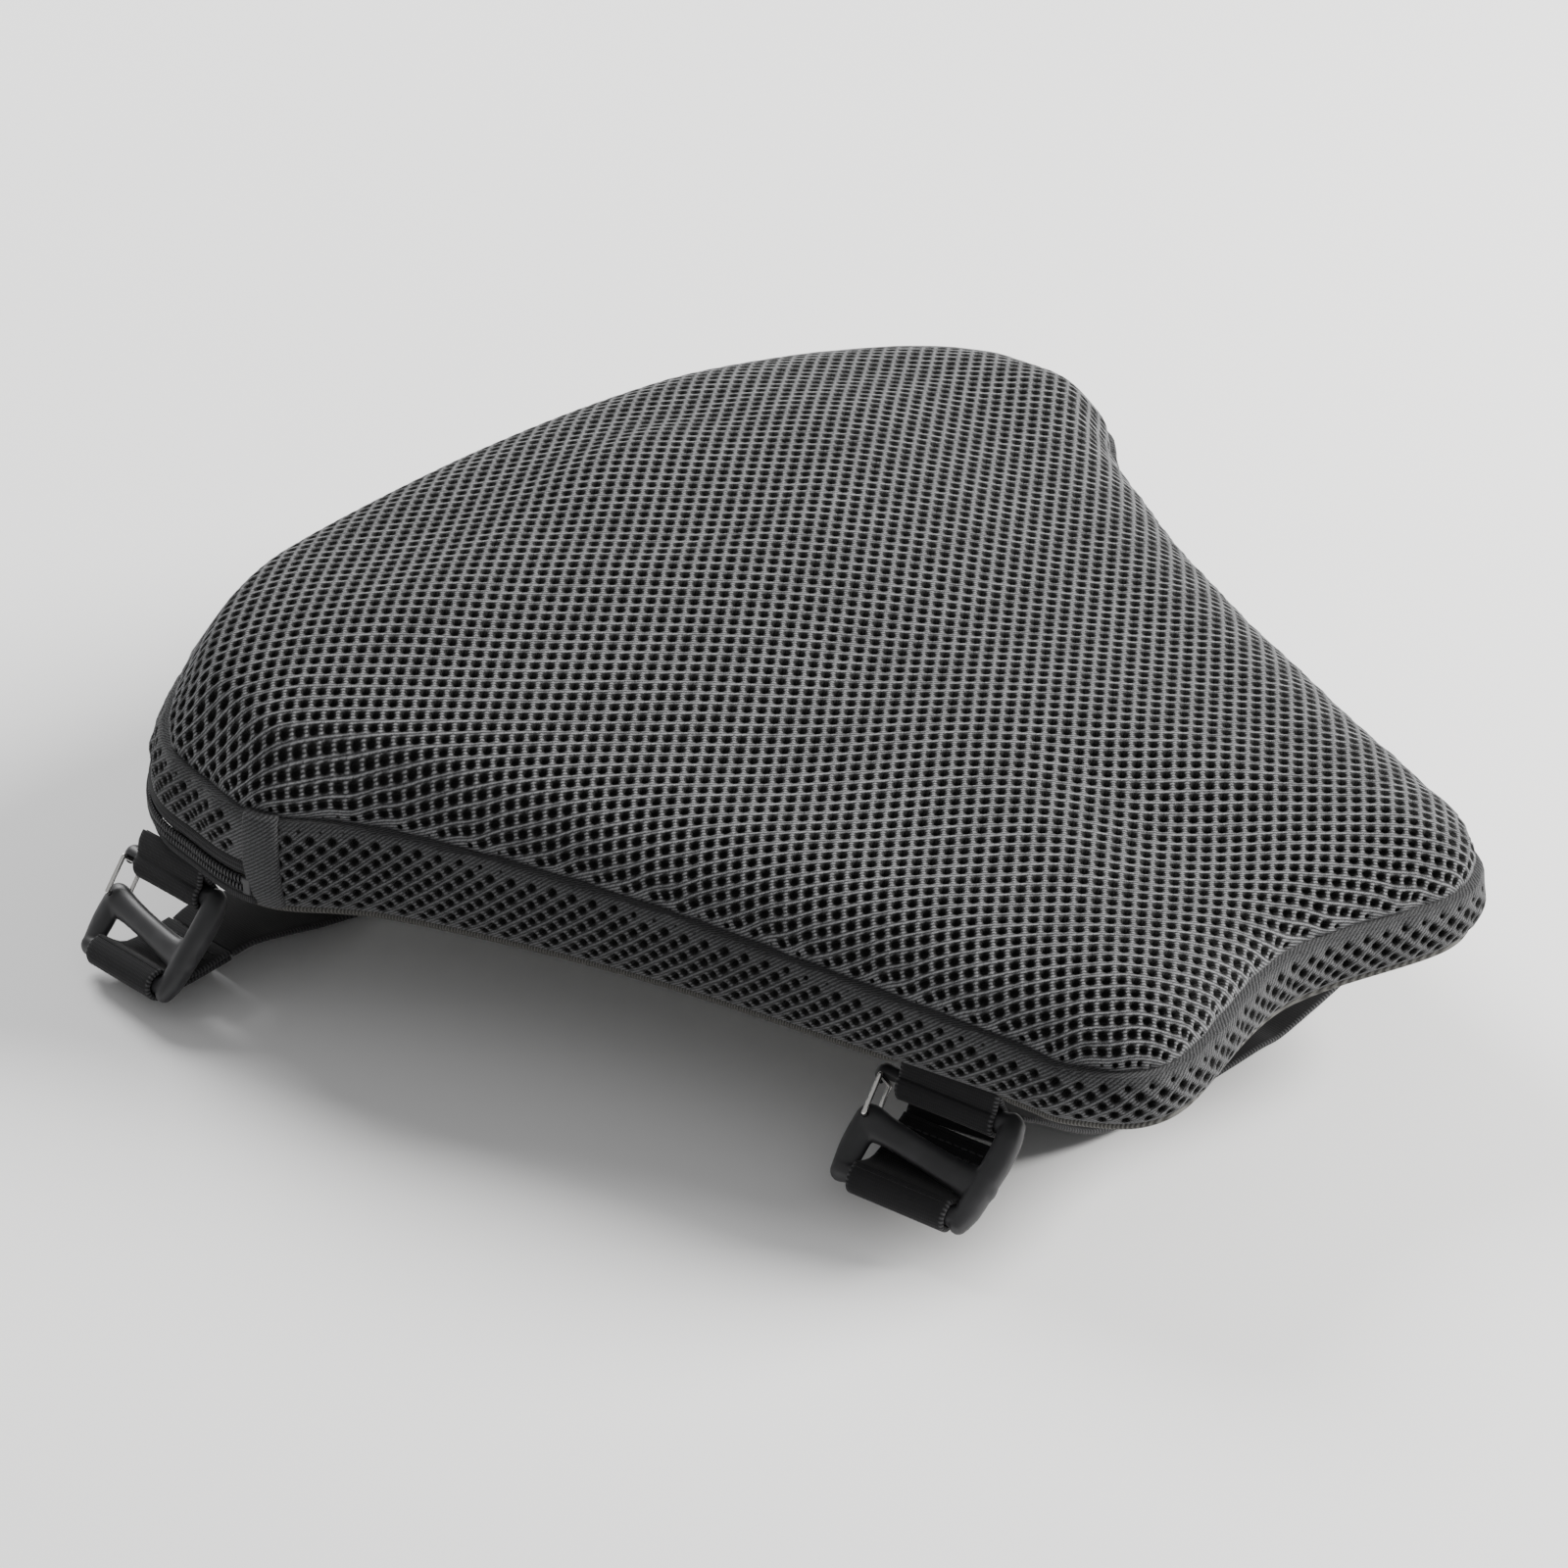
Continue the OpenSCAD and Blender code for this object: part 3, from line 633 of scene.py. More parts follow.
# ---- Cloth with holes ----
class Cells:
    """Flat cloth of four-cornered cells, one hole in each, in staggered rows."""

    def __init__(self, columns, rows, across, along, closed=False):
        i, j = np.meshgrid(np.arange(*columns), np.arange(*rows), indexing="ij")
        keep = (i + j) % 2 == 0
        self.mid = np.stack([i[keep], j[keep]], 1)
        ring = np.array([[2, 0], [1, 1], [0, 2], [-1, 1], [-2, 0], [-1, -1], [0, -2], [1, -1]])
        keys = 2 * self.mid[:, None] + ring[None]
        period = 2 * (columns[1] - columns[0])
        if closed:
            keys[..., 0] = np.mod(keys[..., 0] - 2 * columns[0], period) + 2 * columns[0]
        flat, index = np.unique(keys.reshape(-1, 2), axis=0, return_inverse=True)
        self.crest = index.reshape(-1, 8)
        self.half = np.array([across / 2, along / 2])
        self.crest_flat = flat / 2 * self.half
        angle = np.arctan2(ring[:, 1] * self.half[1], ring[:, 0] * self.half[0])
        self.way = np.stack([np.cos(angle), np.sin(angle)], 1)

    def keep(self, chosen):
        """Drops the cells that aren't chosen, and the points that only they had."""
        self.mid = self.mid[chosen]
        used, index = np.unique(self.crest[chosen], return_inverse=True)
        self.crest = index.reshape(-1, 8)
        self.crest_flat = self.crest_flat[used]

    def layout(self, radius, openness):
        """Flat places, depth shares and faces of the crests, rims and hole floors."""
        mid = self.mid * self.half
        size = np.maximum(openness, 0.18)[:, None, None]
        rim = mid[:, None] + self.way[None] * radius * size
        floor = mid[:, None] + self.way[None] * radius * 0.78 * size
        count, first = len(self.mid), len(self.crest_flat)
        rim_at = first + np.arange(count * 8).reshape(-1, 8)
        floor_at = rim_at + count * 8
        flat = np.concatenate([self.crest_flat, rim.reshape(-1, 2), floor.reshape(-1, 2)])
        opened = np.repeat(openness, 8)
        depth = np.concatenate([np.zeros(first), 0.22 * opened, opened])
        faces = []
        for ring_a, ring_b in ((self.crest, rim_at), (rim_at, floor_at)):
            a, b = ring_a, ring_b
            quads = np.stack([a, np.roll(a, -1, 1), np.roll(b, -1, 1), b], 2)
            faces += quads.reshape(-1, 4).tolist()
        return flat, depth, faces + floor_at.tolist()


# ---- Shape of the top ----
def top_profile():
    """Cloth length, distance inside the seam line and rise, from the seam's groove to the crown."""
    groove = [[4.6, -1.6], [3.1, -1.3], [2.05, -0.2], [1.55, 1.8], [1.6, 4.0]]
    shoulder = [[d, crown(d)] for d in (2.1, 3.2, 5, 7.5, 11, 15.5, 21, 28, CROWN_RUN)]
    curve = catmull(groove + shoulder, 8)
    return lengths(curve), curve[:, 0], curve[:, 1]


PROFILE_S, PROFILE_D, PROFILE_Z = top_profile()
SPARE = PROFILE_S[-1] - CROWN_RUN


class Height:
    """Height of the cushion without its rounded shoulder, smoothed from the frame's top panel."""

    def __init__(self, step=4.0):
        self.low, self.step = np.array([-HALF_W - 12, -FRONT - 12]), step
        self.shape = np.ceil((np.array([HALF_W + 12, REAR + 12]) - self.low) / step).astype(int) + 1
        grid = np.stack(np.meshgrid(*[np.arange(k) for k in self.shape], indexing="ij"), -1)
        places = grid.reshape(-1, 2) * step + self.low
        inside, _, s = EDGE.nearest(places)
        table = seam_height(EDGE.along(EDGE.points, s)[:, 1])
        node = frame["nodes"]["top_panel"]
        tree = BVHTree.FromPolygons(
            [v.co for v in node.data.vertices], [p.vertices for p in node.data.polygons]
        )
        for k in np.nonzero(inside > 2)[0]:
            x, y = places[k] * MM
            hit = tree.ray_cast(Vector((x, y, 1)), Vector((0, 0, -1)))[0]
            if hit is not None:
                table[k] = hit.z / MM - crown(inside[k])
        table = table.reshape(self.shape)
        for _ in range(5):
            padded = np.pad(table, 1, mode="edge")
            table = (padded[:-2, 1:-1] + padded[2:, 1:-1] + 2 * table
                     + padded[1:-1, :-2] + padded[1:-1, 2:]) / 6
        self.table = table

    def read(self, t, places):
        """A table on this grid, read between its points."""
        spot = np.clip((places - self.low) / self.step, 0, np.array(self.shape) - 1.001)
        i, j = spot.astype(int).T
        a, b = (spot - spot.astype(int)).T
        return ((t[i, j] * (1 - a) + t[i + 1, j] * a) * (1 - b)
                + (t[i, j + 1] * (1 - a) + t[i + 1, j + 1] * a) * b)

    def at(self, places):
        return self.read(self.table, places)


def relief(x, y, inside):
    """Soft hollows of a used pad: the front valley, the dip behind it and slack cloth."""
    cover = settings("cover")
    valley = cover.valley * np.exp(-(x / 19) ** 2) * smoothstep(-40, -140, y)
    dip = 1.7 * np.exp(-(((x + 4) / 46) ** 2 + ((y + 18) / 26) ** 2))
    step = 0.9 * np.tanh((y - 0.25 * x + 6) / 20) * np.exp(-((x / 70) ** 2))
    slack = 0.35 * np.sin(x / 17 + 1.3 * np.sin(y / 31)) * np.sin(y / 23 + 0.6)
    return (step + slack - valley - dip) * smoothstep(4, 30, inside)


def fullness(x, y, inside):
    """How much the filling lifts the rear, most over the near corner."""
    crest = settings("cover").rear_rise * smoothstep(-40, 80, y) * (1 - 0.8 * smoothstep(50, 125, x))
    corner = 3.2 * np.exp(-(((x + 125) / 50) ** 2)) * smoothstep(10, 95, y)
    flank = 5.0 * np.exp(-(((x - 158) / 30) ** 2) - ((y - 50) / 36) ** 2)
    return (crest + corner + flank) * smoothstep(1, 15, inside)


def simulated_swell():
    """How far a pressure-filled cloth copy of the pad stands off the plain shape, on a coarse grid."""
    node = frame["nodes"]["top_panel"]
    pad = bpy.data.objects.new("pad_for_cloth", node.data.copy())
    bpy.context.scene.collection.objects.link(pad)
    pad.parent = None
    remesh = pad.modifiers.new("remesh", "REMESH")
    remesh.mode, remesh.voxel_size = "VOXEL", 0.006
    apply_modifiers(pad)
    before = np.array([v.co for v in pad.data.vertices])
    rim = pad.vertex_groups.new(name="seam")
    inside, _, _ = EDGE.nearest(before[:, :2] / MM)
    rim.add([int(k) for k in np.nonzero(inside < 9)[0]], 1.0, "REPLACE")
    cloth = pad.modifiers.new("cloth", "CLOTH")
    cloth.settings.use_pressure = True
    cloth.settings.uniform_pressure_force = 4
    cloth.settings.effector_weights.gravity = 0
    cloth.settings.vertex_group_mass = "seam"
    for number in range(1, 21):
        bpy.context.scene.frame_set(number)
    moved = pad.evaluated_get(bpy.context.evaluated_depsgraph_get())
    after = np.array([v.co for v in moved.data.vertices])
    bpy.context.scene.frame_set(1)
    bpy.data.objects.remove(pad)
    free = inside > 9
    return before[free] / MM, np.clip((after - before)[free, 2] / MM, -2.5, 2.5)


class Swell:
    """The simulated swell as a smooth field over the plan."""

    def __init__(self, height):
        self.height = height
        self.table = np.zeros(height.shape)
        places, rises = simulated_swell()
        top = places[:, 2] > height.at(places[:, :2]) + 4
        places, rises = places[top, :2], rises[top]
        cells = np.round((places - height.low) / height.step).astype(int)
        total, hits = np.zeros(height.shape), np.zeros(height.shape)
        np.add.at(total, tuple(cells.T), rises)
        np.add.at(hits, tuple(cells.T), 1)
        for _ in range(16):
            total, hits = [
                (np.roll(a, 1, 0) + np.roll(a, -1, 0) + np.roll(a, 1, 1) + np.roll(a, -1, 1)
                 + 2 * a) / 6
                for a in (total, hits)
            ]
        self.table = np.where(hits > 1e-3, total / np.maximum(hits, 1e-3), 0)

    def at(self, places):
        return self.height.read(self.table, places)


def top_points(flat, sunk, height, swell):
    """Carries flat cloth onto the cushion's top."""
    inside, normal, s = EDGE.nearest(flat)
    cloth = np.maximum(inside + SPARE, 0)
    on_shoulder = cloth < PROFILE_S[-1]
    d = np.where(on_shoulder, np.interp(cloth, PROFILE_S, PROFILE_D), cloth - SPARE)
    rise = np.interp(cloth, PROFILE_S, PROFILE_Z)
    plan = flat - normal * (d - inside)[:, None]
    near = 1 - smoothstep(4, 26, cloth)
    slope_out = np.clip(1 - d / CROWN_RUN, 0, 1) ** 2 * smoothstep(1.5, 5, cloth)
    z = height.at(plan) + rise + relief(plan[:, 0], plan[:, 1], d)
    z += fullness(plan[:, 0], plan[:, 1], d) + swell.at(plan) * smoothstep(6, 30, d)
    z += pucker(s, 0.7) * near * smoothstep(2, 7, cloth)
    z -= sunk * np.sqrt(1 - 0.95 * slope_out)
    plan = plan - normal * (sunk * slope_out)[:, None]
    plan = plan + normal * (pucker(s + 9, 0.5) * near * smoothstep(1, 5, cloth))[:, None]
    return np.column_stack([plan, z]), cloth


class CUSHION_OT_top(bpy.types.Operator):
    """Makes the padded top of holed spacer mesh"""

    bl_idname = "cushion.top"
    bl_label = "Padded top"

    def execute(self, context):
        cover = settings("cover")
        height = Height()
        swell = Swell(height)
        half = np.array([cover.pitch_across, cover.pitch_along]) / 2
        reach = np.ceil((np.array([HALF_W, FRONT]) + SPARE + 6) / half).astype(int)
        cells = Cells(
            (-reach[0], reach[0] + 1), (-reach[1], reach[1] + 1),
            cover.pitch_across, cover.pitch_along,
        )
        cells.keep(EDGE.nearest(cells.mid * cells.half)[0] + SPARE > -2.2)
        cloth = EDGE.nearest(cells.mid * cells.half)[0] + SPARE
        openness = smoothstep(cover.selvedge_and_shade, cover.selvedge_and_shade + 3.5, cloth)
        flat, depth, faces = cells.layout(cover.hole_radius, openness)
        rounding = np.where(depth > 0, 0.34, 0.0)
        sunk = np.where(depth > 0.5, cover.hole_depth, rounding) * np.minimum(1, depth * 4.6)
        verts, cloth = top_points(flat, sunk, height, swell)
        # Painted shade in the seam's groove: strongest at the seam, gone a few millimetres in.
        seam_shade = 1 - smoothstep(cover.selvedge_and_shade - 2.5, cover.selvedge_and_shade + 2.5, cloth)
        top = make_piece(
            "cushion_top", verts, faces, "spacer_mesh", flat,
            {"depth": depth, "selvedge_and_shade": seam_shade},
        )
        clean(top, 0.05)
        close_bottom(top)
        settle(top, "cushion", "spacer_mesh", "top_panel")
        return {"FINISHED"}


class CUSHION_OT_foam(bpy.types.Operator):
    """Makes the foam core, pressed down where the top is hollow"""

    bl_idname = "cushion.foam"
    bl_label = "Foam core"

    def execute(self, context):
        mesh = frame["nodes"]["foam_core"].data.copy()
        foam = bpy.data.objects.new("foam_block", mesh)
        context.scene.collection.objects.link(foam)
        clean(foam, 0.01)
        points = np.array([v.co for v in foam.data.vertices]) / MM
        inside = EDGE.nearest(points[:, :2])[0]
        sink = np.minimum(relief(points[:, 0], points[:, 1], inside), 0) - 1.2
        points[:, 2] += sink * smoothstep(6, 18, points[:, 2])
        foam.data.vertices.foreach_set("co", (points * MM).ravel())
        foam.data.update()
        foam.data.materials.clear()
        foam.data.materials.append(material("foam"))
        settle(foam, "cushion", "foam", "foam_core")
        return {"FINISHED"}


def close_bottom(obj):
    """Turns the open edge under and closes it with one flat face."""
    pick(obj)
    bpy.ops.object.mode_set(mode="EDIT")
    bpy.ops.mesh.select_all(action="DESELECT")
    bpy.ops.mesh.select_mode(type="EDGE")
    bpy.ops.mesh.select_non_manifold(
        extend=False, use_wire=False, use_boundary=True, use_multi_face=False,
        use_non_contiguous=False, use_verts=False,
    )
    bpy.ops.mesh.extrude_region_move(TRANSFORM_OT_translate={"value": (0, 0, -0.8 * MM)})
    bpy.ops.mesh.edge_face_add()
    bpy.ops.mesh.select_all(action="SELECT")
    bpy.ops.mesh.normals_make_consistent(inside=False)
    bpy.ops.object.mode_set(mode="OBJECT")


# ---- Side band ----
def in_zip(s):
    """1 along the zip, 0 elsewhere, with a short change at each end."""
    s = np.mod(s, EDGE.length)
    return np.maximum(smoothstep(JOIN_S - 2, JOIN_S + 2, s), 1 - smoothstep(ZIP_END_S - 2, ZIP_END_S + 2, s))


def band_foot(s):
    return BAND_FOOT + (TAPE_TOP - 0.2 - BAND_FOOT) * in_zip(s)


def band_points(s, t, sunk=0.0):
    """Carries the band's cloth onto the cushion; t is the height, and runs on into the groove."""
    normal = EDGE.along(EDGE.normals, s)
    normal /= np.linalg.norm(normal, axis=1)[:, None]
    point, lean = EDGE.along(EDGE.points, s), EDGE.along(EDGE.lean, s)
    top = seam_height(point[:, 1])
    low = band_foot(s)
    t = np.maximum(t, low)
    past = np.clip(t - top, 0, 3.4)
    u = np.clip((t - low) / (top - low), 0, 1)
    foot_in = (BASE_INSET - 0.3) * (1 - in_zip(s))
    knots = np.array([0, 0.2, 0.5, 0.82, 1])
    insets = np.stack([
        foot_in, 0.2 * lean - 0.3 * BAND_BULGE, 0.4 * lean - BAND_BULGE,
        0.75 * lean - 0.5 * BAND_BULGE, lean + 0.5,
    ])
    k = np.clip(np.searchsorted(knots, u, side="right") - 1, 0, 3)
    row = np.arange(len(u))
    share = (u - knots[k]) / (knots[k + 1] - knots[k])
    share = share * share * (3 - 2 * share) * 0.45 + share * 0.55
    inset = insets[k, row] * (1 - share) + insets[k + 1, row] * share
    soft = np.sin(math.pi * u)
    inset -= pucker(1.3 * s + 5, 0.5) * soft + pucker(s, 0.55) * smoothstep(0.65, 0.95, u) * (past <= 0)
    inset += past + sunk
    z = np.minimum(t, top) - 0.8 * smoothstep(0, 1, past) * (3.4 - past) / 3.4
    return np.column_stack([point - inset[:, None] * normal, z])


class CUSHION_OT_band(bpy.types.Operator):
    """Makes the side band and the strip over its join"""

    bl_idname = "cushion.band"
    bl_label = "Side band"

    def execute(self, context):
        cover = settings("cover")
        columns = 2 * round(EDGE.length / cover.pitch_across)
        across = 2 * EDGE.length / columns
        rows = math.ceil((SEAM_REAR + 8) / (cover.pitch_along / 2))
        cells = Cells((0, columns), (-1, rows), across, cover.pitch_along, closed=True)
        s, t = (cells.mid * cells.half).T
        top = seam_height(EDGE.along(EDGE.points, s)[:, 1])
        low = band_foot(s)
        cells.keep((t > low - 2.6) & (t < top + 3.4 + 2.6))
        s, t = (cells.mid * cells.half).T
        top, low = seam_height(EDGE.along(EDGE.points, s)[:, 1]), band_foot(s)
        to_join = np.abs(np.mod(s - JOIN_S + 20, EDGE.length) - 20)
        openness = smoothstep(1.6, 4, top - t) * smoothstep(low + 0.4, low + 1.8, t)
        openness = openness * smoothstep(5.5, 8, to_join)
        flat, depth, faces = cells.layout(cover.hole_radius * 0.94, openness)
        s, t = flat.T
        sunk = np.where(depth > 0.5, cover.hole_depth, np.where(depth > 0, 0.34, 0.0))
        sunk = sunk * np.minimum(1, depth * 4.6)
        verts = band_points(s, t, sunk)
        top = seam_height(EDGE.along(EDGE.points, s)[:, 1])
        # Painted shade over the whole side band, darker still towards its top seam.
        seam_shade = smoothstep(top - 5, top - 1.5, t)
        band = make_piece(
            "side_band_cover", verts, faces, "spacer_mesh", flat,
            {"depth": depth, "selvedge_and_shade": 0.7 + 0.3 * seam_shade},
        )
        clean(band, 0.05)
        settle(band, "cushion", "spacer_mesh", "side_band")
        self.join_strip()
        return {"FINISHED"}

    def join_strip(self):
        width, edges, rows = 10.5, 12, 22
        across = np.tile(np.linspace(-width / 2, width / 2, edges + 1), rows)
        s = JOIN_S - 3 + across
        beside = JOIN_S - 4 + 0 * s
        top = seam_height(EDGE.along(EDGE.points, s)[:, 1])
        t = BAND_FOOT + (top - BAND_FOOT) * np.repeat(np.linspace(0, 1.02, rows), edges + 1)
        dome = 1.25 * (1 - (2 * np.abs(across) / width) ** 6)
        stitched = 0.35 * np.exp(-((np.abs(across) - 3.4) / 0.5) ** 2)
        wall = band_points(beside, t)[:, :2] - EDGE.along(EDGE.points, beside)
        side = np.sign((wall * EDGE.along(EDGE.normals, beside)).sum(1))
        out = np.linalg.norm(wall, axis=1) * side
        here, normal = EDGE.along(EDGE.points, s), EDGE.along(EDGE.normals, s)
        outer = np.column_stack([here + normal * (out + dome - stitched + 0.25)[:, None], t])
        inner = np.column_stack([here + normal * (out - 1.2)[:, None], t])
        verts, faces = shell(outer, inner, rows, edges + 1)
        uv = np.tile(np.column_stack([s, t]), (2, 1))
        # Painted shade over the join strip, nearly as dark as the top of the band.
        strip = make_piece(
            "band_join_strip", verts, faces, "spacer_mesh", uv,
            {"depth": np.zeros(len(verts)), "selvedge_and_shade": np.full(len(verts), 0.95)},
        )
        clean(strip, 0.01)
        settle(strip, "cushion", "spacer_mesh", "band_join")


def shell(outer, inner, rows, columns):
    """A closed slab between two grids of points."""
    verts = np.concatenate([outer, inner])
    count = rows * columns
    at = np.arange(count).reshape(rows, columns)
    faces = []
    for grid, flip in ((at, False), (at + count, True)):
        quads = np.stack([grid[:-1, :-1], grid[:-1, 1:], grid[1:, 1:], grid[1:, :-1]], -1)
        quads = quads.reshape(-1, 4)
        faces += (quads[:, ::-1] if flip else quads).tolist()
    loop = np.concatenate([at[0], at[1:, -1], at[-1, -2::-1], at[-2:0:-1, 0]])
    after = np.roll(loop, -1)
    faces += np.stack([after, loop, loop + count, after + count], 1).tolist()
    return verts, faces


# ---- Base ----
class CUSHION_OT_base(bpy.types.Operator):
    """Makes the ribbed base with its edge rolled up to the band"""

    bl_idname = "cushion.base"
    bl_label = "Ribbed base"

    def execute(self, context):
        steps = np.linspace(0, EDGE.length, 601)[:-1]
        point, normal = EDGE.along(EDGE.points, steps), EDGE.along(EDGE.normals, steps)
        tuck = np.zeros(len(steps))
        for side in ("front", "rear"):
            place = Place(side)
            for sign in (1, -1):
                arm = place.arm[:2] * [sign, 1]
                tuck += np.exp(-((np.linalg.norm(point - arm, axis=1) / 16.5) ** 6))
        roll = [[9, 0], [4.6, 0], [2.9, 0.35], [1.9, 1.3], [1.75, 2.3], [2.6, 3.1], [6, 3.3]]
        curve = catmull(roll, 3)
        rings = [
            np.column_stack([point - (inset + 3.2 * tuck)[:, None] * normal, np.full(len(steps), z)])
            for inset, z in curve
        ]
        verts = np.concatenate(rings)
        m, faces = len(steps), []
        index = np.arange(m)
        for k in range(len(rings) - 1):
            a, b = k * m + index, k * m + np.roll(index, -1)
            faces += np.stack([a, b, b + m, a + m], 1).tolist()
        faces.append(index.tolist())
        faces.append((index + (len(rings) - 1) * m)[::-1].tolist())
        base = make_piece("base_cover", verts, faces, "ribbed_base", verts[:, :2])
        clean(base, 0.01)
        settle(base, "cushion", "ribbed_base", "base_panel")
        return {"FINISHED"}


# ---- Repeated small shapes ----
def template(make):
    """Points and faces, in millimetres, of a shape made with operators, which is then removed."""
    bpy.ops.object.select_all(action="DESELECT")
    make()
    obj = bpy.context.object
    verts = np.array([v.co for v in obj.data.vertices])
    faces = [list(p.vertices) for p in obj.data.polygons]
    bpy.data.objects.remove(obj)
    return verts, faces


def strew(shape, places):
    """One mesh of copies: each place is an origin and three axes."""
    verts, faces = shape
    axes = np.array([np.stack(p[1:]) for p in places])
    origins = np.array([p[0] for p in places])
    points = np.einsum("vi,pij->pvj", verts, axes) + origins[:, None]
    all_faces = [[k + n * len(verts) for k in face] for n in range(len(places)) for face in faces]
    return points.reshape(-1, 3), all_faces


def stitch_places(points, normals, length):
    """Stitches end to end along a curve, lying on a surface with those normals."""
    points, normals = np.asarray(points, float), np.asarray(normals, float)
    along = lengths(points)
    places = []
    for mid in np.arange(length * 0.6, along[-1] - length * 0.5, length):
        spot = [np.interp(mid + e, along, points[:, k]) for e in (-0.1, 0, 0.1) for k in (0, 1, 2)]
        a, b, c = np.array(spot).reshape(3, 3)
        way = (c - a) / np.linalg.norm(c - a)
        up = np.array([np.interp(mid, along, normals[:, k]) for k in (0, 1, 2)])
        up -= up @ way * way
        up /= np.linalg.norm(up)
        places.append((b, way * length * 0.46, np.cross(up, way), up))
    return places


def stitch_shape():
    def make():
        bpy.ops.mesh.primitive_uv_sphere_add(segments=6, ring_count=5, radius=1)
    verts, faces = template(make)
    return verts[:, [2, 0, 1]] * [1, 0.3, 0.24], faces


# ---- Zip ----
def zip_range():
    """Distances round the edge of the coil's two ends, the second past the full round."""
    return JOIN_S + 3.2, ZIP_END_S + EDGE.length - 3.2


def edge_frame(s):
    """Place, way along, outward normal and up on the outline."""
    s = np.atleast_1d(s)
    normal = EDGE.along(EDGE.normals, s)
    normal /= np.linalg.norm(normal, axis=1)[:, None]
    flat = np.zeros((len(s), 1))
    point = np.hstack([EDGE.along(EDGE.points, s), flat])
    normal = np.hstack([normal, flat])
    way = np.stack([normal[:, 1], -normal[:, 0], flat[:, 0]], 1)
    return point, way, normal, np.tile([0.0, 0.0, 1.0], (len(s), 1))


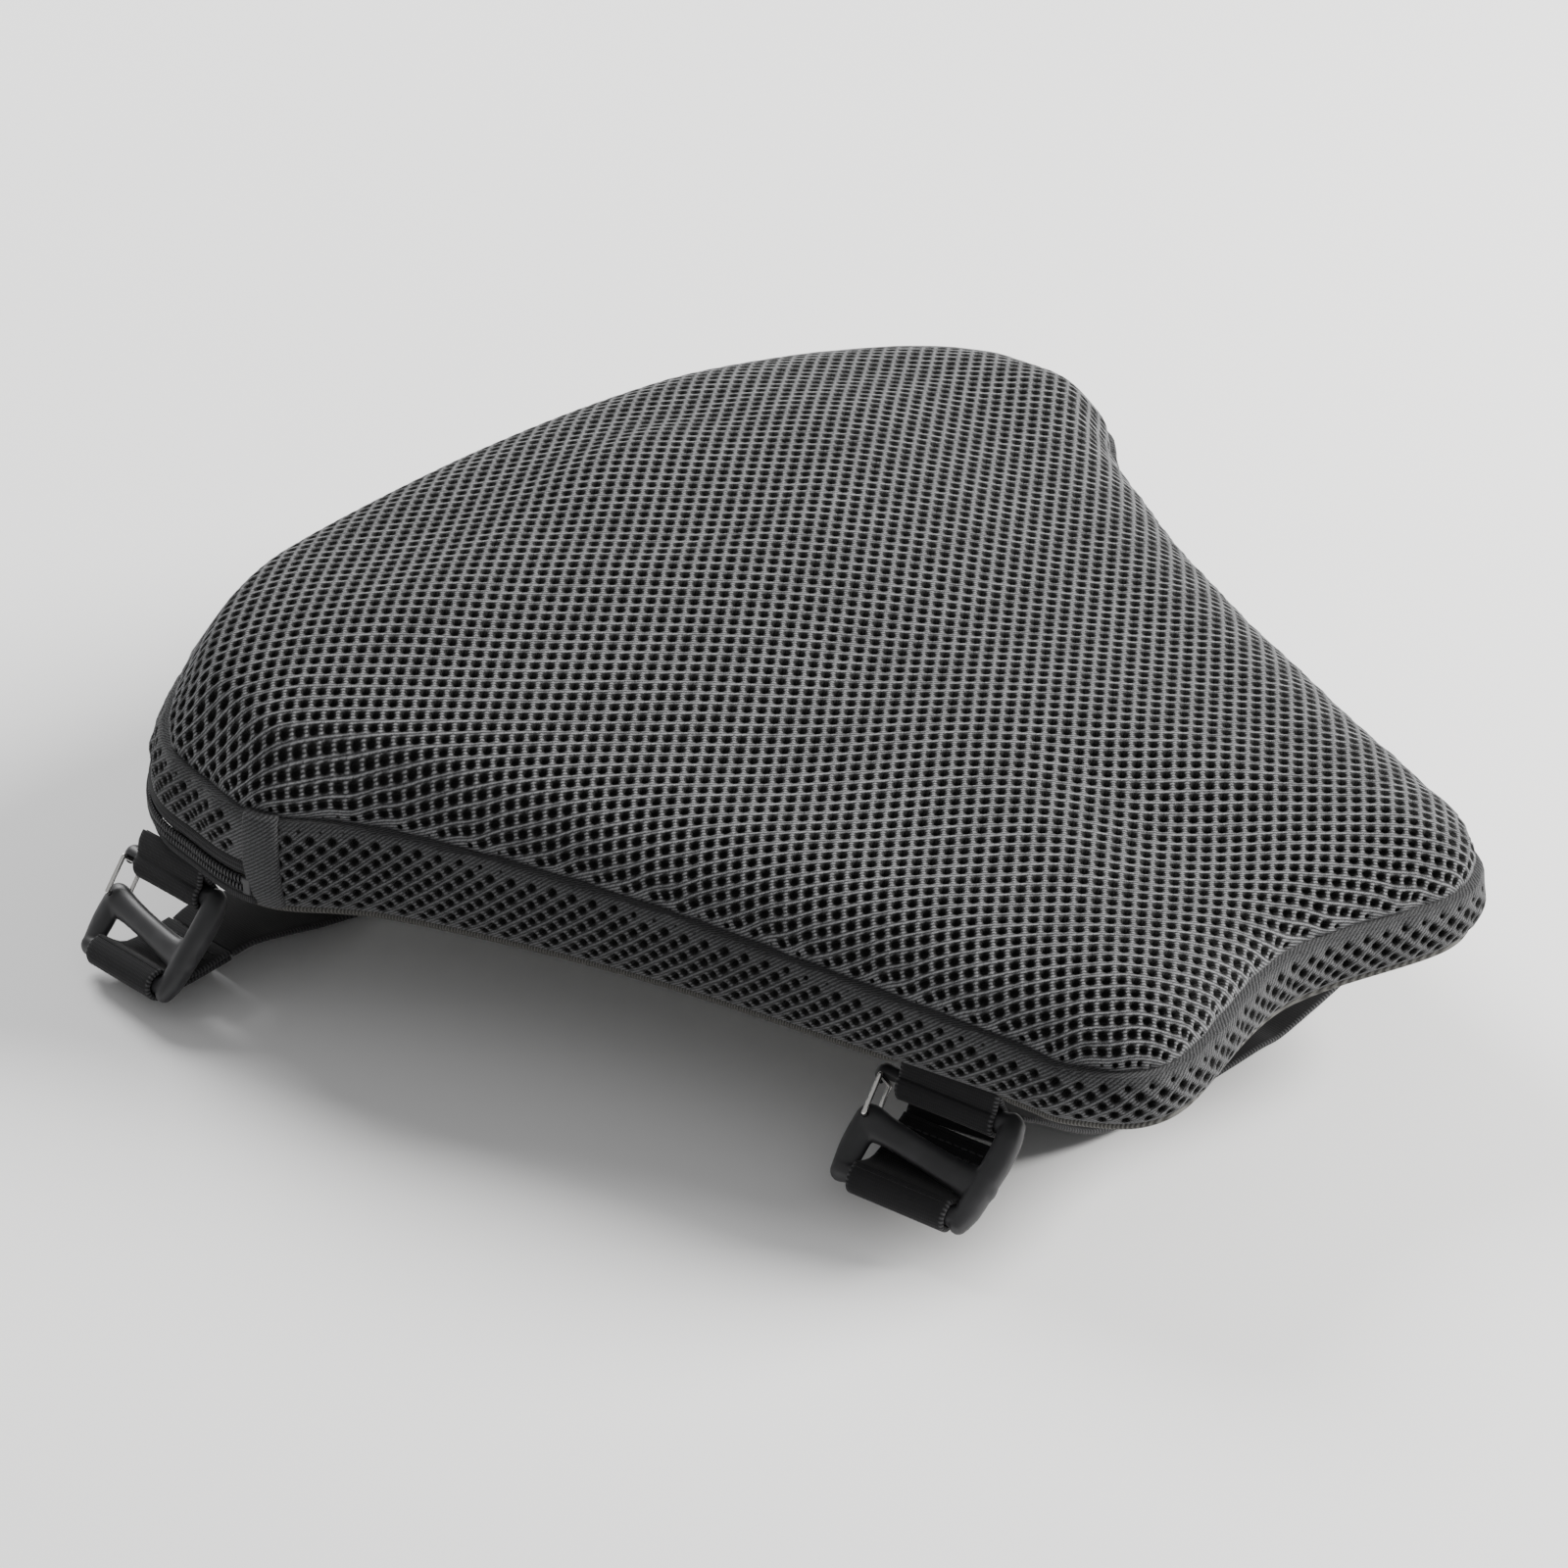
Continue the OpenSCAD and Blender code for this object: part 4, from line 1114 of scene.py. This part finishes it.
class CUSHION_OT_zip(bpy.types.Operator):
    """Makes the coil, its tapes, the stops, the slider and the pull"""

    bl_idname = "cushion.zip"
    bl_label = "Zip"

    def execute(self, context):
        self.teeth("zip_coil_upper_turns", "zip_coil_upper", 1)
        self.teeth("zip_coil_lower_turns", "zip_coil_lower", -1)
        up = ZIP_Z + 2.55
        self.tape("zip_tape_upper_cloth", "zip_tape_upper", [
            [-0.9, up], [0.25, up + 0.1], [0.45, up + 0.5], [0.2, up + 0.95], [0.75, up + 1.4],
            [0.85, up + 2.3], [0.5, up + 2.9], [0.75, up + 3.4], [0.1, TAPE_TOP + 0.4],
        ])
        down = ZIP_Z - 2.55
        self.tape("zip_tape_lower_cloth", "zip_tape_lower", [
            [-1.2, BAND_FOOT + 0.1], [-0.2, BAND_FOOT + 0.2], [0.55, BAND_FOOT + 0.9],
            [0.7, down - 1.6], [0.3, down - 1.1], [0.5, down - 0.5], [0.2, down], [-0.9, down],
        ])
        self.stops()
        self.slider()
        return {"FINISHED"}

    def teeth(self, name, node, side):
        def make():
            bpy.ops.mesh.primitive_torus_add(
                major_segments=10, minor_segments=5, major_radius=1, minor_radius=0.36
            )
        verts, faces = template(make)
        verts = verts[:, [2, 0, 1]] * [1.18, 0.72, 1.08]
        first, last = zip_range()
        pitch = settings("zip").tooth_pitch
        steps = np.arange(first, last, pitch) + (0 if side > 0 else pitch / 2)
        point, way, normal, up = edge_frame(steps)
        middle = point + normal * 0.85 + up * (ZIP_Z + side * 1.22)
        lean = way + up * 0.12 * side
        places = list(zip(middle, lean, normal, up * side))
        verts, faces = strew((verts, faces), places)
        coil = make_piece(name, verts, faces, "zip_coil")
        clean(coil, 0.001)
        settle(coil, "cushion", "zip_coil", node)

    def tape(self, name, node, profile):
        curve = catmull(profile, 3)
        steps = np.linspace(JOIN_S + 0.5, ZIP_END_S + EDGE.length, 240)
        point, _, normal, up = edge_frame(steps)
        outer = point[None] + normal[None] * curve[:, :1, None] + up[None] * curve[:, 1:, None]
        inner = point[None] - normal[None] * 1.6 + up[None] * curve[:, 1:, None]
        verts, faces = shell(
            outer.reshape(-1, 3), inner.reshape(-1, 3), len(curve), len(steps)
        )
        uv = np.stack(np.meshgrid(steps, lengths(curve)), -1).reshape(-1, 2)
        tape = make_piece(name, verts, faces, "zip_tape", np.tile(uv, (2, 1)))
        clean(tape, 0.001)
        settle(tape, "cushion", "zip_tape", node)

    def stops(self):
        """Rounded clips over both ends of the coil."""
        for name, where, heights in (
            ("zip_bottom_stop", JOIN_S + 1.7, [(ZIP_Z, 5.4)]),
            ("zip_top_stops", ZIP_END_S - 1.7, [(ZIP_Z - 1.35, 2.5), (ZIP_Z + 1.35, 2.5)]),
        ):
            parts = []
            for z, tall in heights:
                point, way, normal, up = (a[0] for a in edge_frame(where))
                centre = point + normal * 0.95 + up * z
                parts.append(rounded_block((2.6, 2.0, tall), 0.5, centre, (way, normal, up)))
            clip = join_parts(name + "_clip", parts, "zip_coil")
            settle(clip, "cushion", "zip_coil", name)

    def slider(self):
        """A waisted slider body with a bridge, and a pull with a grip and a slot."""
        low, high = box_mm("zip_slider")
        pin = np.array(joint("zip_pull_swing")["pos_m"]) / MM
        arc_middle = np.array([0, REAR - REAR_RADIUS])
        out = (pin[:2] - arc_middle) / np.linalg.norm(pin[:2] - arc_middle)
        normal = np.array([*out, 0])
        way = np.array([out[1], -out[0], 0])
        up = np.array([0, 0, 1.0])
        axes = (way, normal, up)
        pin = pin * [1, 1, 0] + up * (low[2] + high[2]) / 2
        foot = pin - normal * 6.3
        tall = high[2] - low[2]
        face = foot + normal * 2.9
        parts = [
            rounded_block((12.6, 1.5, tall * 0.92), 0.65, face, axes),
            rounded_block((8.4, 0.9, tall * 0.5), 0.4, face + normal * 0.9, axes),
            rounded_block((12.4, 2.3, 0.9), 0.4, face - normal * 1.3 + up * (tall / 2 - 0.45), axes),
            rounded_block((12.4, 2.3, 0.9), 0.4, face - normal * 1.3 - up * (tall / 2 - 0.45), axes),
            rounded_block((2.4, 3.4, 0.9), 0.4, pin - normal * 1.1 + up * (tall / 2 - 0.5), axes),
            rounded_block((2.4, 3.4, 0.9), 0.4, pin - normal * 1.1 - up * (tall / 2 - 0.5), axes),
            round_pin(pin, up, 0.88, tall),
        ]
        body = join_parts("zip_slider_body", parts, "zip_metal")
        settle(body, "zip_slider", "zip_metal", "zip_slider")
        pull_low, pull_high = box_mm("zip_pull")
        reach = pull_high[0] - pull_low[0] - 1.5
        wide = pull_high[2] - pull_low[2]
        parts = [
            ring_block(pin, axes, 2.0, 0.98, wide * 0.9),
            rounded_block((reach - 4.6, 1.5, wide * 0.82), 0.6, pin - way * (reach / 2 + 1.4), axes),
        ]
        for k in range(4):
            ridge = pin - way * (reach - 3.2 - 1.7 * k)
            parts.append(rounded_block((0.8, 2.1, wide * 0.66), 0.3, ridge, axes))
        pull = join_parts("zip_pull_tab", parts, "zip_metal")
        settle(pull, "zip_pull", "zip_metal", "zip_pull")


def turned(centre, axes):
    """A matrix in metres from three axes and a centre in millimetres."""
    matrix = Matrix.Identity(4)
    for k, axis in enumerate(axes):
        for row in range(3):
            matrix[row][k] = axis[row]
    matrix.translation = Vector(centre) * MM
    return matrix


def rounded_block(size, radius, centre, axes):
    """A cube with bevelled edges."""
    bpy.ops.object.select_all(action="DESELECT")
    bpy.ops.mesh.primitive_cube_add(size=1)
    obj = bpy.context.object
    obj.data.transform(Matrix.Diagonal((*[part * MM for part in size], 1)))
    radius = min(radius, 0.45 * min(size))
    bevel = obj.modifiers.new("bevel", "BEVEL")
    bevel.width, bevel.segments = radius * MM, 3
    apply_modifiers(obj)
    obj.data.transform(turned(centre, axes))
    return obj


def round_pin(centre, axis, radius, length):
    """A short pin with softened ends."""
    bpy.ops.object.select_all(action="DESELECT")
    bpy.ops.mesh.primitive_cylinder_add(vertices=24, radius=radius * MM, depth=length * MM)
    obj = bpy.context.object
    turn = Vector((0, 0, 1)).rotation_difference(Vector(axis)).to_matrix().to_4x4()
    bevel = obj.modifiers.new("bevel", "BEVEL")
    bevel.width, bevel.segments, bevel.limit_method = 0.2 * MM, 2, "ANGLE"
    apply_modifiers(obj)
    obj.data.transform(Matrix.Translation(Vector(centre) * MM) @ turn)
    return obj


def ring_block(centre, axes, outer, inner, tall):
    """An eye: a thick ring round the third axis."""
    bpy.ops.object.select_all(action="DESELECT")
    bpy.ops.mesh.primitive_cylinder_add(
        vertices=32, radius=inner * MM, depth=tall * MM, end_fill_type="NOTHING"
    )
    obj = bpy.context.object
    wall = obj.modifiers.new("wall", "SOLIDIFY")
    wall.thickness, wall.offset = (outer - inner) * MM, 1
    bevel = obj.modifiers.new("bevel", "BEVEL")
    bevel.width, bevel.segments, bevel.limit_method = 0.25 * MM, 2, "ANGLE"
    apply_modifiers(obj)
    obj.data.transform(turned(centre, axes))
    return obj


def join_parts(name, parts, finish):
    """Joins separate solids into one piece."""
    bpy.ops.object.select_all(action="DESELECT")
    for part in parts:
        part.select_set(True)
    bpy.context.view_layer.objects.active = parts[0]
    bpy.ops.object.join()
    obj = bpy.context.object
    obj.name = name
    obj.data.materials.clear()
    obj.data.materials.append(material(finish))
    bpy.ops.object.shade_smooth_by_angle(angle=math.radians(40))
    return obj


# ---- Places of the buckles ----
class Place:
    """Where one buckle hangs, from its joints: across the webbing, outwards, up, and down the buckle."""

    def __init__(self, side):
        swing, gate = joint(side + "_buckle_swing"), joint(side + "_gate_snap")
        self.side = side
        self.arm = np.array(swing["pos_m"]) / MM
        self.across = self.unit(np.array(swing["axis"]))
        self.out = self.unit(np.cross([0, 0, 1], self.across))
        self.up = np.cross(self.across, self.out)
        self.face = -self.unit(np.array(gate["axis"]))
        self.down = np.cross(self.face, self.across)
        self.rise = math.radians(20 if side == "front" else 4)
        self.bar = BUCKLE_LEN * np.array([self.down @ self.out, self.down @ self.up])
        self.way = np.array([-math.cos(self.rise), math.sin(self.rise)])
        self.below = np.array([-math.sin(self.rise), -math.cos(self.rise)])
        self.pinch = self.bar + 9 * self.way + (BAR_R + 0.1) * self.below
        self.fold_end = self.pinch + 15 * self.way

    @staticmethod
    def unit(vector):
        return vector / np.linalg.norm(vector)

    def point(self, pair):
        """A place from its outward and upward distances from the arm."""
        pair = np.atleast_2d(pair)
        return self.arm + pair[:, :1] * self.out + pair[:, 1:] * self.up

    def matrix(self):
        """The buckle's own axes: across, down its length, and out of its face."""
        return turned(self.arm, (self.across, self.down, self.face))


def loop_path(bar, pinch, end, apart):
    """Centre line of webbing that runs in, round a bar and out again."""
    ahead = Place.unit(end - pinch)
    side = np.array([-ahead[1], ahead[0]])
    start = [end + apart * side, pinch + apart * side]
    finish = [pinch - apart * side, end - apart * side]
    turn = [
        bar + LOOP_R * (math.cos(a) * side - math.sin(a) * ahead)
        for a in np.radians(np.linspace(-24, 204, 13))
    ]
    return catmull(np.array(start + turn + finish), 4)


def webbing(name, centre, across, body, nodes, wave=0.0):
    """A strip of webbing with rounded edges along a centre line."""
    centre, across = np.asarray(centre), np.asarray(across)
    way = np.gradient(centre, axis=0)
    way /= np.linalg.norm(way, axis=1)[:, None]
    across = across - (across * way).sum(1)[:, None] * way
    across /= np.linalg.norm(across, axis=1)[:, None]
    up = np.cross(way, across)
    half, thick, r = STRAP_W / 2, STRAP_T / 2, settings("straps").edge_round
    side = [half - r + r * math.cos(a) for a in np.radians([-90, -60, -25, 0, 25, 60, 90])]
    tall = [thick * math.sin(a) for a in np.radians([-90, -60, -25, 0, 25, 60, 90])]
    inner = np.linspace(half - r, -(half - r), 16)[1:-1]
    loop = list(zip(side, tall)) + [(x, thick) for x in inner]
    loop += [(-x, -z) for x, z in zip(side, tall)] + [(-x, -thick) for x in inner]
    loop = np.array(loop)
    along = lengths(centre)
    ripple = wave * np.sin(along / 9.0) * 0.5
    verts = (
        centre[:, None] + across[:, None] * loop[None, :, :1]
        + up[:, None] * (loop[None, :, 1:] + (ripple[:, None] * (loop[:, 0] / half) ** 2)[..., None])
    )
    m, k = verts.shape[:2]
    at = np.arange(m * k).reshape(m, k)
    nxt = np.roll(at, -1, 1)
    faces = np.stack([at[:-1], nxt[:-1], nxt[1:], at[1:]], -1).reshape(-1, 4).tolist()
    faces += [at[0][::-1].tolist(), at[-1].tolist()]
    uv = np.stack(np.broadcast_arrays(loop[None, :, 0], along[:, None]), -1).reshape(-1, 2)
    strip = make_piece(name, verts.reshape(-1, 3), faces, "webbing", uv)
    clean(strip, 0.001)
    if body:
        settle(strip, body, "webbing", *nodes)
    return strip


class CUSHION_OT_straps(bpy.types.Operator):
    """Makes the tabs, the folded strap ends, the free straps and their stitching"""

    bl_idname = "cushion.straps"
    bl_label = "Straps"

    def execute(self, context):
        for side in ("front", "rear"):
            place = Place(side)
            self.tab(place)
            self.strap_end(place)
            self.run(place)
        return {"FINISHED"}

    def tab(self, place):
        path = loop_path(
            np.zeros(2), np.array([0.2, 7.2]), np.array([-1.6, 9.7]), STRAP_T / 2 + 0.08
        )
        centre = place.point(path)
        across = np.tile(place.across, (len(centre), 1))
        webbing(place.side + "_tab_webbing", centre, across, "cushion", [place.side + "_tab"], 0.25)

    def strap_end(self, place):
        path = loop_path(place.bar, place.pinch, place.fold_end, STRAP_T / 2 + 0.08)
        centre = place.point(path)
        across = np.tile(place.across, (len(centre), 1))
        buckle = place.side + "_buckle"
        webbing(
            place.side + "_strap_loop", centre, across, buckle, [place.side + "_strap_end"], 0.3
        )
        rows = []
        for share in (0.35, 0.55, 0.75):
            mid = place.pinch * (1 - share) + place.fold_end * share
            for face in (-1, 1):
                spot = mid + face * (STRAP_T + 0.1) * place.below
                ends = [place.point(spot)[0] + place.across * x for x in (-12.5, 12.5)]
                normal = place.point(place.below * face)[0] - place.arm
                rows += stitch_places(ends, [normal, normal], settings("straps").stitch_length)
        verts, faces = strew(stitch_shape(), rows)
        tack = make_piece(place.side + "_bartack_thread", verts, faces, "thread")
        settle(tack, buckle, "thread", place.side + "_bartack")

    def run(self, place):
        low = box_mm(place.side + "_strap")[0][2] + STRAP_T / 2
        turn = math.atan2(place.across[1], place.across[0])
        start = place.point(place.fold_end + 1.2 * place.way)[0]
        lead = place.point(place.fold_end + (STRAP_T + 0.9 + 9) * place.way)[0]
        y, far = place.arm[1], -place.arm[0] - 0.1
        square = math.pi / 2
        stops = [
            (start, turn), (lead, turn),
            ([lead[0] + 27.7, 0.6 * start[1] + 0.4 * y, 0.25 * lead[2] + 0.75 * low],
             turn * 0.6 + square * 0.4),
            ([lead[0] + 53.7, y, low], turn * 0.2 + square * 0.8),
            ([0.25 * far, y, low], square), ([far - 48, y, low], square),
            ([far - 16, y, low + 9], square * 0.4 + (math.pi - turn) * 0.6),
            ([far - 2, y, place.arm[2] - 6], math.pi - turn),
            ([far + 0.5, y, 1.6], math.pi - turn),
        ]
        curve = catmull([[*point, angle] for point, angle in stops], 9)
        across = np.column_stack([np.cos(curve[:, 3]), np.sin(curve[:, 3]), 0 * curve[:, 3]])
        fade = np.clip(1 - np.arange(len(curve)) / 12, 0, 1)
        across[:, 2] = place.across[2] * fade
        strap = webbing(place.side + "_free_strap", curve[:, :3], across, None, [], 0.6)
        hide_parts(place.side + "_strap")
        tuple(start * MM)
        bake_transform(strap)
        rows = []
        outward = np.array([-math.sin(math.pi - turn), math.cos(math.pi - turn), 0])
        sideways = np.array([math.cos(math.pi - turn), math.sin(math.pi - turn), 0])
        for z in (-1.9, -3.3):
            for face in (-1, 1):
                mid = np.array([far + 0.4, y, z]) + face * outward * (STRAP_T / 2 + 0.05)
                ends = [mid + sideways * x for x in (-12.5, 12.5)]
                rows += stitch_places(ends, [outward * face] * 2, settings("straps").stitch_length)
        verts, faces = strew(stitch_shape(), rows)
        anchor = make_piece(place.side + "_anchor_thread", verts, faces, "thread")
        settle(anchor, "cushion", "thread", place.side + "_anchor_stitch")


# ---- Buckles ----
def beads(path, radii, flat=1.0):
    """Overlapping balls along a path in the buckle's own axes, for the remesh to join."""
    points = catmull(np.asarray(path, float), 14)
    sizes = catmull(np.asarray(radii, float)[:, None].repeat(2, 1), 14)[:, 0]
    return [
        (p, np.array([r, 0, 0]), np.array([0, r, 0]), np.array([0, 0, r * flat]))
        for p, r in zip(points, sizes)
    ]


class CUSHION_OT_buckles(bpy.types.Operator):
    """Moulds the two hook buckles"""

    bl_idname = "cushion.buckles"
    bl_label = "Buckles"

    def execute(self, context):
        for side in ("front", "rear"):
            self.buckle(Place(side))
        return {"FINISHED"}

    def buckle(self, place):
        half = STRAP_W / 2 + 0.8
        bar_x, plate_x = -(half + 3.5), half + 3.2
        hole_y = MIDDLE_AT - 2
        balls = beads([[bar_x, 0.2, 0], [0, 0, 0], [plate_x - 2, 0, 0]], [3.1, 2.9, 2.9])
        balls += beads([[plate_x - 2, 0, 0], [plate_x + 1.3, -0.2, 0]], [2.9, 3.1])
        balls += beads(
            [[bar_x + 0.9, -0.4, 0], [bar_x - 0.3, 3, 0.2], [bar_x - 0.7, 10, 0.3],
             [bar_x, 18, 0.2], [bar_x + 0.6, 25, 0], [bar_x + 1.3, BUCKLE_LEN + 1.6, 0]],
            [3.1, 3.6, 3.75, 3.6, 3.4, 2.5],
        )
        middle = [[bar_x + 1, MIDDLE_AT + 3.6, 0], [bar_x + 8, MIDDLE_AT + 3.1, 0],
                  [0, MIDDLE_AT + 1.4, 0], [plate_x - 8, MIDDLE_AT - 0.3, 0],
                  [plate_x - 1, MIDDLE_AT - 1.2, 0]]
        balls += beads(middle, [5.2, 4.3, 3.9, 4.1, 4.9], 0.6)
        balls += beads(
            [[plate_x, hole_y - 0.2, 0], [plate_x + 0.2, 20, 0], [plate_x - 0.1, BUCKLE_LEN, 0]],
            [3.9, 4.0, 3.3], 0.66,
        )
        balls += beads([[bar_x + 1, BUCKLE_LEN, 0], [plate_x, BUCKLE_LEN, 0]], [2.9, 2.9])

        def make():
            bpy.ops.mesh.primitive_uv_sphere_add(segments=18, ring_count=12, radius=1)
        verts, faces = strew(template(make), balls)
        buckle = make_piece(place.side + "_buckle_body", verts, faces, "buckle_plastic")
        blend = buckle.modifiers.new("blend", "REMESH")
        blend.mode, blend.voxel_size = "VOXEL", 0.42 * MM
        soften = buckle.modifiers.new("soften", "SMOOTH")
        soften.factor, soften.iterations = 0.5, 9
        thin = buckle.modifiers.new("thin", "DECIMATE")
        thin.ratio = 0.5
        apply_modifiers(buckle)
        bpy.ops.object.select_all(action="DESELECT")
        bpy.ops.mesh.primitive_cylinder_add(
            vertices=24, radius=0.86 * MM, depth=20 * MM, location=(plate_x * MM, hole_y * MM, 0)
        )
        self.cut(buckle, bpy.context.object)
        slot_low, slot_high = STRAP_W / 2 + GAP, plate_x + 2.1
        slot_y = BAR_R / 2 - 1.1
        middle = ((slot_low + slot_high) / 2, slot_y + BAR_R, 0)
        size = (slot_high - slot_low, 2 * BAR_R, 20)
        self.cut(buckle, rounded_block(size, 0.5, middle, np.eye(3)))
        buckle.data.transform(place.matrix())
        pick(buckle)
        bpy.ops.object.shade_smooth_by_angle(angle=math.radians(50))
        settle(buckle, place.side + "_buckle", "buckle_plastic", place.side + "_buckle")

    def cut(self, buckle, tool):
        """Takes a tool's shape out of the buckle and removes the tool."""
        hole = buckle.modifiers.new("hole", "BOOLEAN")
        hole.operation, hole.object, hole.solver = "DIFFERENCE", tool, "EXACT"
        apply_modifiers(buckle)
        bpy.data.objects.remove(tool)


# ---- Carried-over nodes and the stage ----
class CUSHION_OT_frame_finishes(bpy.types.Operator):
    """Gives every kept node of the frame its finish"""

    bl_idname = "cushion.frame_finishes"
    bl_label = "Frame finishes"

    def execute(self, context):
        slots = {row["node"]: row["material_slot"] for row in frame["record"]["subparts"]}
        for node, obj in frame["nodes"].items():
            if obj.type == "MESH":
                obj.data.materials.clear()
                obj.data.materials.append(material(slots[node]))
        return {"FINISHED"}


def area_light(name, place, aim, size, power, tint):
    light = bpy.data.lights.new(name, "AREA")
    light.shape, light.size, light.energy, light.color = "DISK", size, power, tint
    lamp = bpy.data.objects.new(name, light)
    bpy.context.scene.collection.objects.link(lamp)
    lamp.location = place
    lamp.rotation_euler = (Vector(aim) - Vector(place)).to_track_quat("-Z", "Y").to_euler()


class CUSHION_OT_stage(bpy.types.Operator):
    """Sets the floor, the lights and the camera"""

    bl_idname = "cushion.stage"
    bl_label = "Stage"

    def execute(self, context):
        stage = settings("stage")
        scene = context.scene
        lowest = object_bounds()[0].z
        bpy.ops.object.select_all(action="DESELECT")
        bpy.ops.mesh.primitive_plane_add(size=14, location=(0, 0, 0))
        floor = context.object
        floor.name = "floor"
        floor.data.transform(Matrix.Translation((0, 0, lowest)))
        finish = Finish("floor")
        grain = finish.noise(finish.place(), 3, 1)
        pale = tuple(stage.floor)
        finish.set(Base_Color=finish.mix(grain, pale, tuple(0.98 * part for part in pale)))
        finish.set(Roughness=0.9, Specular_IOR_Level=0.1)
        floor.data.materials.append(finish.material)
        floor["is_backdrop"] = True
        middle = (0, 0, 0.02)
        area_light("key", (1.35, -0.95, 0.95), middle, 1.0, stage.key_power, (1, 0.99, 0.97))
        area_light("rim", (0.35, 1.6, 1.35), middle, 1.0, stage.key_power * 0.4, (1, 1, 1))
        area_light("fill", (-1.3, -1.5, 0.9), middle, 1.8, stage.fill_power, (0.97, 0.98, 1))
        world = bpy.data.worlds.new("studio")
        world.use_nodes = True
        world.node_tree.nodes["Background"].inputs["Color"].default_value = (1, 1, 1, 1)
        world.node_tree.nodes["Background"].inputs["Strength"].default_value = 0.42
        scene.world = world
        camera = bpy.data.cameras.new("camera")
        camera.sensor_width, camera.lens = 36, 95.06
        camera.clip_end = 30
        view = bpy.data.objects.new("camera", camera)
        scene.collection.objects.link(view)
        view.location = (-0.710, -0.723, 0.634)
        back, right = Vector((-0.580, -0.6175, 0.5314)), Vector((0.729, -0.6845, 0))
        turn = Matrix((right, back.cross(right), back)).transposed()
        view.rotation_euler = turn.to_euler()
        scene.camera = view
        return {"FINISHED"}


# ---- Sidebar and registration ----
OPERATORS = (
    CUSHION_OT_frame_finishes, CUSHION_OT_foam, CUSHION_OT_top, CUSHION_OT_band, CUSHION_OT_base,
    CUSHION_OT_zip, CUSHION_OT_straps, CUSHION_OT_buckles, CUSHION_OT_stage,
)
GROUPS = {
    "cover": CUSHION_PG_cover, "zip": CUSHION_PG_zip,
    "straps": CUSHION_PG_straps, "stage": CUSHION_PG_stage,
}


class CUSHION_PT_sidebar(bpy.types.Panel):
    """Lists the sizes, the colours and the steps of the build"""

    bl_idname = "CUSHION_PT_sidebar"
    bl_label = "Cushion"
    bl_space_type = "VIEW_3D"
    bl_region_type = "UI"
    bl_category = "Cushion"

    def draw(self, context):
        for name, group in GROUPS.items():
            box = self.layout.box()
            box.label(text=name.capitalize())
            for key in group.__annotations__:
                box.prop(settings(name), key)
        for operator in OPERATORS:
            self.layout.operator(operator.bl_idname)


def register():
    for cls in (*GROUPS.values(), *OPERATORS, CUSHION_PT_sidebar):
        bpy.utils.register_class(cls)
    for name, group in GROUPS.items():
        setattr(bpy.types.Scene, "cushion_" + name, bpy.props.PointerProperty(type=group))


def unregister():
    for name in GROUPS:
        delattr(bpy.types.Scene, "cushion_" + name)
    for cls in reversed((*GROUPS.values(), *OPERATORS, CUSHION_PT_sidebar)):
        bpy.utils.unregister_class(cls)


def main():
    register()
    for operator in OPERATORS:
        group, name = operator.bl_idname.split(".")
        getattr(getattr(bpy.ops, group), name)()


if __name__ == "__main__":
    main()
